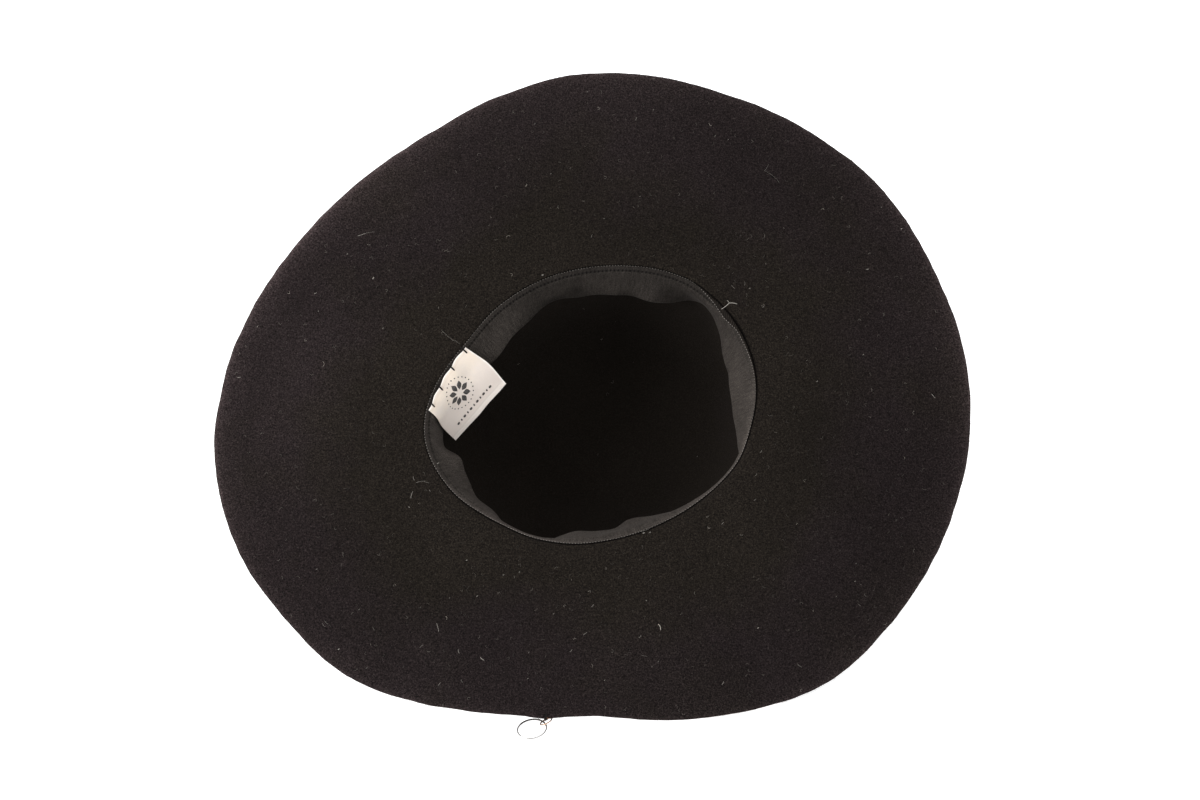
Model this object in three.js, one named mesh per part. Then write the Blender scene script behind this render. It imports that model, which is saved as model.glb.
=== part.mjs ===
import * as THREE from 'three';

// A floppy wide-brimmed hat of black wool felt, lying upside down on a table.
// The hat has a frame of its own: the middle of the head opening is its origin, +Z points out of
// the opening, away from the crown, and +X runs along the long axis of the head oval. A heading is
// an angle round that opening, counted from +X. The whole hat is then tipped over until the near
// edge of the brim touches the table, and rests on that edge and on its crown.
// Lengths are in millimetres and angles in degrees.

// Felt hood, crown and brim in one piece
const FELT = 2.2;
const HEAD_HALF_LENGTH = 99.9;
const HEAD_HALF_WIDTH = 82.7;
const CROWN_DEPTH = 124;
const CROWN_SQUARENESS = 2.8;
const CROWN_SWELL_DEPTH = 0.2;
const BREAK_RADIUS = 6.5;
const BRIM_BOW = 2;
const BRIM_RISE_POWER = 1.5;
const EDGE_ROUNDING = 0.35;

// Grosgrain sweatband
const RIBBON_WIDTH = 28;
const RIBBON = 1;

// Label
const LABEL = 1;
const LABEL_SEAM_BOW = 2;

// Wire rings at the near edge of the brim. Each centre is given along the table from the middle of
// the cut edge at the ring heading, and each axis as a direction, with the table level.
const RING_HEADING = 240;
const JUMP_RING = { radius: 3.9, wire: 0.8, right: 0.5, away: -4.9, height: 2.6, axis: [-0.44, 0.33, 0.83] };
const HOOP = { radius: 8.8, wire: 1.0, right: -7.7, away: -10.7, height: 1.62, axis: [-0.12, 0.045, 1] };

// How the hat lies: turned about its own axis, tipped, and with the middle of the opening here
// when the middle of the crown's flat foot is at 0, 0, 0
const TIP = 37;
const OVAL_TURN = 23.5;
const OPENING = { x: 6.2, y: -19.5, height: 118.5 };
const EDGE_PRESS = 0.3;
const GAP = 0.3;

// How finely the surfaces are divided
const HEADINGS = 90;
const BRIM_STEPS = 8;
const BREAK_STEPS = 4;
const CROWN_STEPS = 11;
const RIBBON_SHARES = [0, 0.09, 0.18, 0.3, 0.6, 1];
const LABEL_COLUMNS = 10;
const LABEL_ROWS = 6;
const WIRE_SIDES = 6;
const JUMP_RING_PIECES = 18;
const HOOP_PIECES = 36;

// The head opening: rim is how far it stands out from a true oval at the break of the brim, and
// swell how far the crown widens again below that break
const HEAD_OVAL = [
  { heading: 0, rim: -1.9, swell: 0.8 },
  { heading: 20, rim: -0.6, swell: 4.4 },
  { heading: 32, rim: 0.9, swell: 1.6 },
  { heading: 60, rim: -0.1, swell: 0.5 },
  { heading: 90, rim: -0.4, swell: 0.8 },
  { heading: 112, rim: -2.0, swell: 0.5 },
  { heading: 134, rim: -4.2, swell: 0.5 },
  { heading: 167, rim: 3.4, swell: 0.5 },
  { heading: 190, rim: 0.2, swell: 0.5 },
  { heading: 203, rim: -2.0, swell: 0.5 },
  { heading: 213, rim: -0.5, swell: 0.5 },
  { heading: 226, rim: 1.2, swell: 0.5 },
  { heading: 240, rim: -0.2, swell: 0.5 },
  { heading: 278, rim: -0.1, swell: 0.5 },
  { heading: 292, rim: 2.2, swell: 1.0 },
  { heading: 306, rim: 4.6, swell: 1.5 },
  { heading: 318, rim: 4.9, swell: 2.0 },
  { heading: 333, rim: 0.2, swell: 0.8 },
];

// The cut edge of the brim: reach is its distance from the middle of the opening, and lift its
// height above the plane of the break, before the table bears on it. At 240 the thread that holds
// the rings tugs the edge out a little.
const BRIM_EDGE = [
  { heading: 0, reach: 229.7, lift: -4 },
  { heading: 15, reach: 228.7, lift: -3 },
  { heading: 30, reach: 225.8, lift: -7 },
  { heading: 45, reach: 220.6, lift: -4 },
  { heading: 58, reach: 219.4, lift: -2 },
  { heading: 70, reach: 218.9, lift: -6 },
  { heading: 85, reach: 214.1, lift: -8.5 },
  { heading: 100, reach: 209.5, lift: -9 },
  { heading: 118, reach: 210.3, lift: -4 },
  { heading: 130, reach: 216.4, lift: -6 },
  { heading: 150, reach: 231.0, lift: -12 },
  { heading: 157, reach: 234.2, lift: -11.5 },
  { heading: 165, reach: 237.8, lift: -9 },
  { heading: 182, reach: 237.0, lift: -2 },
  { heading: 194, reach: 231.3, lift: -5 },
  { heading: 205, reach: 227.2, lift: -8 },
  { heading: 216, reach: 216.8, lift: -10 },
  { heading: 228, reach: 205.3, lift: -8 },
  { heading: 236, reach: 200.1, lift: -6 },
  { heading: 240, reach: 199.5, lift: -6 },
  { heading: 244, reach: 196.5, lift: -6 },
  { heading: 250, reach: 195.8, lift: -6 },
  { heading: 262, reach: 204.1, lift: -7 },
  { heading: 275, reach: 213.8, lift: -8 },
  { heading: 288, reach: 224.7, lift: -9 },
  { heading: 302, reach: 228.0, lift: -5 },
  { heading: 320, reach: 231.2, lift: -8 },
  { heading: 335, reach: 233.3, lift: -3 },
  { heading: 347, reach: 231.6, lift: 1 },
];

// The ribbon's sewn edge runs along the rounded break: turned is how far round it, in degrees
const SEAM = [
  { heading: 0, turned: 20 },
  { heading: 32, turned: 20 },
  { heading: 110, turned: 20 },
  { heading: 175, turned: 20 },
  { heading: 197, turned: 20 },
  { heading: 205, turned: 27 },
  { heading: 213, turned: 46 },
  { heading: 226, turned: 48 },
  { heading: 239, turned: 23 },
  { heading: 252, turned: 20 },
  { heading: 280, turned: 20 },
  { heading: 294, turned: 38 },
  { heading: 306, turned: 52 },
  { heading: 320, turned: 50 },
  { heading: 332, turned: 28 },
  { heading: 345, turned: 20 },
];

// The sweatband's buckles: lean is how far the free part of the ribbon stands in from the crown's
// side, as an angle from the hat's axis
const BAND_LEAN = [
  { heading: 0, lean: 27.3 },
  { heading: 9.5, lean: 10 },
  { heading: 20, lean: -10 },
  { heading: 29, lean: -4 },
  { heading: 35, lean: 20 },
  { heading: 42.5, lean: 28.5 },
  { heading: 52, lean: 19.5 },
  { heading: 59, lean: 19.5 },
  { heading: 68, lean: 18 },
  { heading: 80, lean: 13 },
  { heading: 91, lean: 12.5 },
  { heading: 103, lean: 20.5 },
  { heading: 118, lean: 30.5 },
  { heading: 132, lean: 31 },
  { heading: 150, lean: 20 },
  { heading: 170, lean: 15 },
  { heading: 178, lean: 38 },
  { heading: 184, lean: 32 },
  { heading: 194, lean: 18 },
  { heading: 204, lean: 12 },
  { heading: 212, lean: 3 },
  { heading: 226, lean: 2 },
  { heading: 234, lean: 17 },
  { heading: 242, lean: 25 },
  { heading: 257, lean: 20.5 },
  { heading: 265, lean: 27 },
  { heading: 277, lean: 19 },
  { heading: 288, lean: 9.5 },
  { heading: 297, lean: 2 },
  { heading: 318, lean: -3 },
  { heading: 326, lean: 11 },
  { heading: 333, lean: 18.5 },
  { heading: 343.5, lean: 30.5 },
  { heading: 354, lean: 27 },
];

// The label's two sides, each from its sewn corner over the break to its free corner: inset is the
// distance in from the ribbon's sewn edge, and height is above the plane of the break
const LABEL_SIDES = {
  far: [
    { heading: 134.0, inset: 1.7, height: 1.7 },
    { heading: 134.3, inset: 7.6, height: -1.2 },
    { heading: 134.8, inset: 15.9, height: -6 },
    { heading: 140.4, inset: 34.4, height: -18 },
  ],
  near: [
    { heading: 160.7, inset: 1.8, height: 1.7 },
    { heading: 162.0, inset: 5.3, height: -2.4 },
    { heading: 164.6, inset: 10.0, height: -16.5 },
    { heading: 168.4, inset: 17.5, height: -30 },
  ],
};

const radians = THREE.MathUtils.degToRad;
const range = (count) => [...Array(count).keys()];

// A smooth closed curve through one column of a table whose rows go once round the hat
function roundTheHat(rows, column) {
  const count = rows.length;
  const at = (index) => {
    const turn = Math.floor(index / count);
    const row = rows[index - turn * count];
    return { heading: row.heading + 360 * turn, value: row[column] };
  };
  return (heading) => {
    const wrapped = THREE.MathUtils.euclideanModulo(heading, 360);
    let index = count - 1;
    while (rows[index].heading > wrapped) {
      index -= 1;
    }
    const [before, from, to, after] = [at(index - 1), at(index), at(index + 1), at(index + 2)];
    const span = to.heading - from.heading;
    const leave = (span * (to.value - before.value)) / (to.heading - before.heading);
    const arrive = (span * (after.value - from.value)) / (after.heading - from.heading);
    const u = (wrapped - from.heading) / span;
    return (
      from.value * (2 * u ** 3 - 3 * u ** 2 + 1) +
      leave * (u ** 3 - 2 * u ** 2 + u) +
      to.value * (3 * u ** 2 - 2 * u ** 3) +
      arrive * (u ** 3 - u ** 2)
    );
  };
}

const rimAt = roundTheHat(HEAD_OVAL, 'rim');
const swellAt = roundTheHat(HEAD_OVAL, 'swell');
const reachAt = roundTheHat(BRIM_EDGE, 'reach');
const freeLiftAt = roundTheHat(BRIM_EDGE, 'lift');
const seamTurnedAt = roundTheHat(SEAM, 'turned');
const leanAt = roundTheHat(BAND_LEAN, 'lean');

function pointAt(heading, radius, height) {
  const angle = radians(heading);
  return new THREE.Vector3(radius * Math.cos(angle), radius * Math.sin(angle), height);
}

// Radius of the crown's inner face at the break
function headRadius(heading) {
  const angle = radians(heading);
  const across = Math.hypot(HEAD_HALF_WIDTH * Math.cos(angle), HEAD_HALF_LENGTH * Math.sin(angle));
  return (HEAD_HALF_LENGTH * HEAD_HALF_WIDTH) / across + rimAt(heading);
}

// The table, as the tipped hat sees it: a plane at right angles to this upward direction
const tableUp = new THREE.Vector3(
  Math.sin(radians(OVAL_TURN)) * Math.sin(radians(TIP)),
  Math.cos(radians(OVAL_TURN)) * Math.sin(radians(TIP)),
  Math.cos(radians(TIP)),
);

// The crown narrows from the break to its round top along a squared quarter oval. Given a share of
// the way round that, this returns the share of the radius left and of the depth reached.
function crownCurve(share) {
  const angle = (share * Math.PI) / 2;
  const wide = Math.cos(angle) / HEAD_HALF_WIDTH;
  const deep = Math.sin(angle) / (CROWN_DEPTH - BREAK_RADIUS);
  const length = (wide ** CROWN_SQUARENESS + deep ** CROWN_SQUARENESS) ** (-1 / CROWN_SQUARENESS);
  return { across: wide * length, down: deep * length };
}

// Middle of the felt's thickness in the crown
function crownMiddle(heading, share) {
  const { across, down } = crownCurve(share);
  const reached = down / CROWN_SWELL_DEPTH;
  const swell = swellAt(heading) * reached * Math.exp(1 - reached);
  const radius = (headRadius(heading) + FELT / 2 + swell) * across;
  const depth = BREAK_RADIUS + (CROWN_DEPTH + FELT / 2 - BREAK_RADIUS) * down;
  return pointAt(heading, radius, -depth);
}

// The rounded break between crown and brim, from the brim at 0 degrees to the crown at 90
function breakMiddle(heading, turned) {
  const bend = BREAK_RADIUS - FELT / 2;
  const radius = headRadius(heading) + BREAK_RADIUS - bend * Math.sin(radians(turned));
  return pointAt(heading, radius, bend * Math.cos(radians(turned)) - BREAK_RADIUS);
}

const headings = range(HEADINGS).map((index) => (360 * index) / HEADINGS);
const crownShares = range(CROWN_STEPS).map((index) => (index + 1) / (CROWN_STEPS + 1));

// Height of a point of the hat above the table
function heightOverTable(point) {
  return OPENING.height + point.dot(tableUp);
}

// The crown's own round top would reach below the table, so the felt is pressed flat there
function pressed(point, clearance) {
  const short = clearance - heightOverTable(point);
  return short > 0 ? point.addScaledVector(tableUp, short) : point;
}

// Middle of the felt's thickness in the brim, from the break at 0 to the cut edge at 1. The near
// edge is held up by the table.
function brimMiddle(heading, share) {
  const reach = reachAt(heading);
  const inner = headRadius(heading) + BREAK_RADIUS;
  const level = heightOverTable(pointAt(heading, reach, -FELT / 2)) + EDGE_PRESS;
  const tableLift = FELT / 2 - level / tableUp.z;
  const lift = Math.max(freeLiftAt(heading), tableLift);
  const bow = BRIM_BOW * Math.sin(Math.PI * share);
  const height = lift * share ** BRIM_RISE_POWER + bow - FELT / 2;
  return pointAt(heading, inner + (reach - inner) * share, height);
}

// The felt's section at one heading, from the cut edge over the break to the top of the crown
const feltStations = [
  ...range(BRIM_STEPS).map((index) => (heading) => brimMiddle(heading, 1 - index / BRIM_STEPS)),
  ...range(BREAK_STEPS + 1).map((index) => (heading) => breakMiddle(heading, (90 * index) / BREAK_STEPS)),
  ...crownShares.map((share) => (heading) => crownMiddle(heading, share)),
];

// Unit normals of a sheet given as rings of points, on the side of the opening and the head
function ringNormals(rings) {
  return rings.map((ring, row) =>
    ring.map((point, column) => {
      const before = rings[Math.max(row - 1, 0)][column];
      const after = rings[Math.min(row + 1, rings.length - 1)][column];
      const left = ring[(column + ring.length - 1) % ring.length];
      const right = ring[(column + 1) % ring.length];
      const along = new THREE.Vector3().subVectors(before, after);
      return along.cross(new THREE.Vector3().subVectors(right, left)).normalize();
    }),
  );
}

// A closed skin through rings of points. Its two ends run to a single point each, or else the last
// ring joins the first.
function skin(rings, ends) {
  const width = rings[0].length;
  const points = rings.flat();
  const faces = [];
  const joints = ends ? rings.length - 1 : rings.length;
  for (let row = 0; row < joints; row += 1) {
    const here = row * width;
    const there = ((row + 1) % rings.length) * width;
    for (let column = 0; column < width; column += 1) {
      const next = (column + 1) % width;
      faces.push(here + column, there + column, here + next);
      faces.push(here + next, there + column, there + next);
    }
  }
  if (ends) {
    const first = points.length;
    const last = first + 1;
    const lastRing = (rings.length - 1) * width;
    points.push(ends[0], ends[1]);
    for (let column = 0; column < width; column += 1) {
      const next = (column + 1) % width;
      faces.push(first, column, next);
      faces.push(last, lastRing + next, lastRing + column);
    }
  }
  return solid(points, faces);
}

function solid(points, faces) {
  const geometry = new THREE.BufferGeometry();
  geometry.setFromPoints(points);
  geometry.setIndex(faces);
  geometry.computeVertexNormals();
  return geometry;
}

// Felt body: the inner face from the top of the crown out to the cut edge, round that edge, and
// the outer face back to the top of the crown
function feltGeometry() {
  const middle = feltStations.map((station) => headings.map(station));
  const normals = ringNormals(middle);
  const face = (offset, clearance) =>
    middle.map((ring, row) =>
      ring.map((point, column) => {
        const moved = point.clone().addScaledVector(normals[row][column], offset);
        return pressed(moved, row > BRIM_STEPS ? clearance : 0);
      }),
    );
  const inner = face(FELT / 2, FELT);
  const outer = face(-FELT / 2, 0);
  const edge = middle[0].map((point, column) => {
    const outward = new THREE.Vector3().subVectors(point, middle[1][column]).normalize();
    return pressed(point.clone().addScaledVector(outward, EDGE_ROUNDING), 0);
  });
  const top = (offset, clearance) => pressed(new THREE.Vector3(0, 0, offset - CROWN_DEPTH), clearance);
  const rings = [...inner.reverse(), edge, ...outer];
  return skin(rings, [top(0, FELT), top(-FELT, 0)]);
}

// Sweatband: the ribbon starts on the rounded break, follows it down and then stands straight
const ribbonOffset = GAP + RIBBON / 2;
const ribbonBend = BREAK_RADIUS + ribbonOffset;

function ribbonMiddle(heading, along) {
  const lean = radians(leanAt(heading));
  const leaves = Math.PI / 2 - lean;
  const start = radians(seamTurnedAt(heading));
  const onBreak = Math.min(along, ribbonBend * (leaves - start));
  const turned = start + onBreak / ribbonBend;
  const free = along - onBreak;
  const radius = headRadius(heading) + BREAK_RADIUS - ribbonBend * Math.sin(turned);
  const height = ribbonBend * Math.cos(turned) - BREAK_RADIUS;
  return pointAt(heading, radius - free * Math.sin(lean), height - free * Math.cos(lean));
}

function sweatbandGeometry() {
  const middle = RIBBON_SHARES.map((share) =>
    headings.map((heading) => ribbonMiddle(heading, share * RIBBON_WIDTH)),
  );
  const normals = ringNormals(middle);
  const face = (offset) =>
    middle.map((ring, row) =>
      ring.map((point, column) => point.clone().addScaledVector(normals[row][column], offset)),
    );
  return skin([...face(RIBBON / 2).reverse(), ...face(-RIBBON / 2)]);
}

// Label: a small slip of cloth ruled between its two sides, each one smooth curve
function ribbonEdgeRadius(heading) {
  const start = ribbonMiddle(heading, 0);
  return Math.hypot(start.x, start.y);
}

function labelSide(rows) {
  const points = rows.map((row) =>
    pointAt(row.heading, ribbonEdgeRadius(row.heading) - row.inset, row.height),
  );
  return new THREE.CatmullRomCurve3(points);
}

// The sewn side bows outward with the ribbon's edge, and the free side is straight
function labelGeometry() {
  const far = labelSide(LABEL_SIDES.far);
  const near = labelSide(LABEL_SIDES.near);
  const rows = range(LABEL_ROWS + 1).map((row) => {
    const down = row / LABEL_ROWS;
    const [start, end] = [far.getPoint(down), near.getPoint(down)];
    return range(LABEL_COLUMNS + 1).map((column) => {
      const across = column / LABEL_COLUMNS;
      const point = start.clone().lerp(end, across);
      const outward = new THREE.Vector3(point.x, point.y, 0).normalize();
      return point.addScaledVector(outward, LABEL_SEAM_BOW * 4 * across * (1 - across) * (1 - down) ** 2);
    });
  });
  return slab(rows, LABEL);
}

// A slab of even thickness about an open sheet of points
function slab(rows, thickness) {
  const height = rows.length;
  const width = rows[0].length;
  const clamp = THREE.MathUtils.clamp;
  const at = (row, column) => rows[clamp(row, 0, height - 1)][clamp(column, 0, width - 1)];
  const face = (offset) =>
    rows.flatMap((points, row) =>
      points.map((point, column) => {
        const along = new THREE.Vector3().subVectors(at(row + 1, column), at(row - 1, column));
        const over = new THREE.Vector3().subVectors(at(row, column + 1), at(row, column - 1));
        return point.clone().addScaledVector(over.cross(along).normalize(), offset);
      }),
    );
  const points = [...face(thickness / 2), ...face(-thickness / 2)];
  const under = height * width;
  const faces = [];
  for (const row of range(height - 1)) {
    for (const column of range(width - 1)) {
      const a = row * width + column;
      const [b, c, d] = [a + 1, a + width + 1, a + width];
      faces.push(a, b, c, a, c, d);
      faces.push(under + a, under + c, under + b, under + a, under + d, under + c);
    }
  }
  const border = [
    ...range(width - 1),
    ...range(height - 1).map((row) => row * width + width - 1),
    ...range(width - 1).map((column) => under - 1 - column),
    ...range(height - 1).map((row) => (height - 1 - row) * width),
  ];
  border.forEach((corner, index) => {
    const next = border[(index + 1) % border.length];
    faces.push(corner, under + corner, next, next, under + corner, under + next);
  });
  return solid(points, faces);
}

// A ring of round wire, lying on the table or against its neighbour beside the brim's edge
function wireRing(name, sizes, pieces, brimEdge, material) {
  const wire = new THREE.TorusGeometry(sizes.radius, sizes.wire / 2, WIRE_SIDES, pieces);
  const ring = named(name, wire, material);
  ring.position.set(brimEdge.x + sizes.right, brimEdge.y + sizes.away, sizes.height);
  const axis = new THREE.Vector3(...sizes.axis).normalize();
  ring.quaternion.setFromUnitVectors(new THREE.Vector3(0, 0, 1), axis);
  return ring;
}

function named(name, geometry, material) {
  const mesh = new THREE.Mesh(geometry, material);
  mesh.name = name;
  return mesh;
}

const felt = new THREE.MeshStandardMaterial({ color: 0x231f1f, roughness: 1, metalness: 0 });
const grosgrain = new THREE.MeshStandardMaterial({ color: 0x2b2927, roughness: 0.8, metalness: 0 });
const cream = new THREE.MeshStandardMaterial({ color: 0xe9dfd2, roughness: 0.75, metalness: 0 });
const goldTone = new THREE.MeshStandardMaterial({ color: 0xc79a6b, roughness: 0.25, metalness: 1 });
const silverTone = new THREE.MeshStandardMaterial({ color: 0xd8d8da, roughness: 0.15, metalness: 1 });

// The hat is turned about its own axis first and tipped then
const tipped = new THREE.Group();
tipped.add(named('felt_body', feltGeometry(), felt));
tipped.add(named('sweatband', sweatbandGeometry(), grosgrain));
tipped.add(named('inner_label', labelGeometry(), cream));
tipped.rotation.set(radians(TIP), 0, radians(OVAL_TURN), 'XYZ');
tipped.position.set(OPENING.x, OPENING.y, OPENING.height);
tipped.updateMatrix();

const brimEdge = brimMiddle(RING_HEADING, 1).applyMatrix4(tipped.matrix);
const hat = new THREE.Group();
hat.add(tipped);
hat.add(wireRing('jump_ring', JUMP_RING, JUMP_RING_PIECES, brimEdge, goldTone));
hat.add(wireRing('edge_hoop', HOOP, HOOP_PIECES, brimEdge, silverTone));

export default hat;
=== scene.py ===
import math

import bpy
import numpy as np
from mathutils import Matrix, Vector


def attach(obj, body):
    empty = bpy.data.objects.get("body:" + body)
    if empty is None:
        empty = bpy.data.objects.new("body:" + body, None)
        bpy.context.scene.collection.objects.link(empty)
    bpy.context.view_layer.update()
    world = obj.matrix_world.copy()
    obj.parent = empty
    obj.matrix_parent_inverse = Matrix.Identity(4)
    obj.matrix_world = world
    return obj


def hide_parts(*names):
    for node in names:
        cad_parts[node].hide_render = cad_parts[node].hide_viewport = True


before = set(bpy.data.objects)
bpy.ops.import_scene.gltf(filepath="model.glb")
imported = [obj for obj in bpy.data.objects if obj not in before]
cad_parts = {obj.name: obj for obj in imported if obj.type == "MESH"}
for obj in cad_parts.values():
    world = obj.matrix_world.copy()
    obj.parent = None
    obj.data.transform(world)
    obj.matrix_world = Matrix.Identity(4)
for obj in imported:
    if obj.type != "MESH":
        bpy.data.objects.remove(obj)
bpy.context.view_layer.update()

# A floppy wide-brimmed hat of black wool felt, lying upside down on a table.
# It is seen into its open crown, with the ribbon that lines the opening, a label sewn in at the
# left, and a small wire hoop at the near edge of the brim. The hat has a frame of its own: the
# middle of the head opening is its origin, +Z points out of the opening, and +X runs along the long
# axis of the head. A heading is an angle round the opening, counted from +X. Sizes are written in
# millimetres and degrees.

# Camera, and how the hat lies
# The hat is turned about its own axis and then tipped towards the camera, until the near edge of
# its brim touches the table. The camera looks down into the open crown with a long lens.
MM = 0.001
TIP = 37
OVAL_TURN = 23.5
OPENING = (6.2, -19.5, 118.5)
AIM = (10.04, -18.163, 120.217)
CAMERA_AZIMUTH = 2.3
CAMERA_ELEVATION = 38
CAMERA_DISTANCE = 2100
LENS = 101.6
SENSOR = 36
PICTURE = (1200, 800)

hat_turn = np.array(
    Matrix.Rotation(math.radians(TIP), 3, "X") @ Matrix.Rotation(math.radians(OVAL_TURN), 3, "Z")
)


def on_table(points):
    """Points of the hat's own frame, in millimetres, as metres over the table"""
    return (points @ hat_turn.T + OPENING) * MM


azimuth = math.radians(CAMERA_AZIMUTH)
elevation = math.radians(CAMERA_ELEVATION)
back = Vector(
    (
        math.sin(azimuth) * math.cos(elevation),
        -math.cos(azimuth) * math.cos(elevation),
        math.sin(elevation),
    )
)
right = Vector((math.cos(azimuth), math.sin(azimuth), 0))
up = back.cross(right)
eye = (Vector(AIM) + back * CAMERA_DISTANCE) * MM
camera = bpy.data.objects.new("camera", bpy.data.cameras.new("camera"))
camera.data.lens = LENS
camera.data.sensor_width = SENSOR
camera.matrix_world = Matrix.Translation(eye) @ Matrix((right, up, back)).transposed().to_4x4()
bpy.context.collection.objects.link(camera)
bpy.context.scene.camera = camera


# Table and light
# A white table that glows a little, as lit card does, and runs out of sight under a pale surround.
# A soft lamp stands low at the left and a weaker one at the front, so that the felt's slow waves
# just show.
TABLE_HALF_WIDTH = 6
TABLE_WHITE = (0.9, 0.9, 0.9)
TABLE_GLOW = 0.7
TABLE_DULLEST = 0.98
TABLE_CLOUDS_PER_METRE = 3
SURROUND = 0.8
LAMPS = [
    {"name": "left_lamp", "place": (-1.15, -0.5, 0.85), "size": 0.8, "watts": 18},
    {"name": "front_lamp", "place": (0.9, -1.4, 2.0), "size": 1.6, "watts": 12},
]


def add_node(tree, kind, inputs=None, **settings):
    """A node with its settings, and its inputs given as values or as another node's outputs"""
    made = tree.nodes.new(kind)
    for setting, value in settings.items():
        setattr(made, setting, value)
    for name, value in (inputs or {}).items():
        if isinstance(value, bpy.types.NodeSocket):
            tree.links.new(value, made.inputs[name])
        else:
            made.inputs[name].default_value = value
    return made


def new_material(name, sockets):
    """A material with one shader, and values for the shader's own sockets"""
    material = bpy.data.materials.new(name)
    material.use_nodes = True
    shader = material.node_tree.nodes["Principled BSDF"]
    for socket, value in sockets.items():
        shader.inputs[socket].default_value = value
    return material, material.node_tree, shader


def own_place(tree):
    """Where on the piece a point is, whatever the piece rides on"""
    return add_node(tree, "ShaderNodeTexCoord").outputs["Object"]


def noise(tree, place, per_metre, **inputs):
    """Smooth noise with that many lumps to the metre"""
    sockets = {"Vector": place, "Scale": per_metre}
    sockets.update({name.replace("_", " ").title(): value for name, value in inputs.items()})
    return add_node(tree, "ShaderNodeTexNoise", sockets).outputs["Fac"]


def ramp(tree, value, stops):
    """A colour or grey for each value between the stops"""
    node = add_node(tree, "ShaderNodeValToRGB", {"Fac": value})
    elements = node.color_ramp.elements
    while len(elements) < len(stops):
        elements.new(1)
    for element, (position, colour) in zip(elements, stops):
        element.position = position
        element.color = (*colour, 1) if isinstance(colour, tuple) else (colour, colour, colour, 1)
    return node.outputs["Color"]


def combine(tree, operation, first, second):
    """One number worked out from two"""
    return add_node(tree, "ShaderNodeMath", {0: first, 1: second}, operation=operation).outputs[0]


def mix(tree, share, first, second, blend="MIX"):
    """Two colours blended"""
    inputs = {0: share, 6: first, 7: second}
    return add_node(tree, "ShaderNodeMix", inputs, data_type="RGBA", blend_type=blend).outputs[2]


def emboss(tree, shader, height, strength, depth):
    """A bump over the shader's surface, its depth in millimetres"""
    inputs = {"Height": height, "Strength": strength, "Distance": depth * MM}
    tree.links.new(add_node(tree, "ShaderNodeBump", inputs).outputs[0], shader.inputs["Normal"])


def add_object(name, points, faces, material):
    """A smooth-shaded mesh object at the origin, its points in metres"""
    mesh = bpy.data.meshes.new(name)
    mesh.from_pydata(np.asarray(points).tolist(), [], faces)
    mesh.materials.append(material)
    mesh.shade_smooth()
    made = bpy.data.objects.new(name, mesh)
    bpy.context.collection.objects.link(made)
    return made


table_material, table_tree, table_shader = new_material(
    "white_table", {"Roughness": 0.7, "Emission Strength": TABLE_GLOW, "Emission Color": (1, 1, 1, 1)}
)
table_place = own_place(table_tree)
table_tone = ramp(
    table_tree,
    noise(table_tree, table_place, TABLE_CLOUDS_PER_METRE),
    [(0.3, TABLE_WHITE), (0.7, tuple(TABLE_DULLEST * part for part in TABLE_WHITE))],
)
table_tree.links.new(table_tone, table_shader.inputs["Base Color"])
far = TABLE_HALF_WIDTH
table = add_object(
    "table",
    [(-far, -far, 0), (far, -far, 0), (far, far, 0), (-far, far, 0)],
    [(0, 1, 2, 3)],
    table_material,
)

surround = bpy.data.worlds.new("surround")
surround.use_nodes = True
surround.node_tree.nodes["Background"].inputs["Color"].default_value = (1, 1, 1, 1)
surround.node_tree.nodes["Background"].inputs["Strength"].default_value = SURROUND
bpy.context.scene.world = surround
bpy.context.scene.view_settings.view_transform = "Standard"

for lamp in LAMPS:
    light = bpy.data.lights.new(lamp["name"], "AREA")
    light.size = lamp["size"]
    light.energy = lamp["watts"]
    holder = bpy.data.objects.new(lamp["name"], light)
    holder.location = lamp["place"]
    holder.rotation_euler = Vector(lamp["place"]).to_track_quat("Z", "Y").to_euler()
    bpy.context.collection.objects.link(holder)


# Felt body
# Crown and brim are one hood of black wool felt, blocked over a head-shaped block. The brim is cut
# freehand, left unbound, and has gone a little wavy. The soft crown is pressed flat by the table.
FELT = 2.2
HEAD_HALF_LENGTH = 99.9
HEAD_HALF_WIDTH = 82.7
CROWN_DEPTH = 124
CROWN_SQUARENESS = 2.8
CROWN_SWELL_DEPTH = 0.2
BREAK_RADIUS = 6.5
BRIM_BOW = 2
BRIM_RISE_POWER = 1.5
EDGE_ROUNDING = 0.35
EDGE_SQUARENESS = 0.4
EDGE_PRESS = 0.3
FELT_HEADINGS = 448
BRIM_RINGS = 52
BREAK_RINGS = 10
CROWN_RINGS = 40
RIPPLE_HEIGHT = 0.55
RIPPLE_LENGTHS = (38, 130)
RIPPLE_FADE = 0.25
RIPPLE_SEED = 3
EDGE_WANDER = 0.12
EDGE_WANDER_LENGTHS = (7, 40)
EDGE_WANDER_POWER = 12
EDGE_WANDER_SEED = 5

# How far the opening stands out from a true oval at the break of the brim, and how far the crown
# swells again below it
HEAD_OVAL = np.array(
    [
        (0, -1.9, 0.8), (20, -0.6, 4.4), (32, 0.9, 1.6), (60, -0.1, 0.5), (90, -0.4, 0.8),
        (112, -2.0, 0.5), (134, -4.2, 0.5), (167, 3.4, 0.5), (190, 0.2, 0.5), (203, -2.0, 0.5),
        (213, -0.5, 0.5), (226, 1.2, 0.5), (240, -0.2, 0.5), (278, -0.1, 0.5), (292, 2.2, 1.0),
        (306, 4.6, 1.5), (318, 4.9, 2.0), (333, 0.2, 0.8),
    ],
    dtype=[("heading", float), ("rim", float), ("swell", float)],
)

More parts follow.
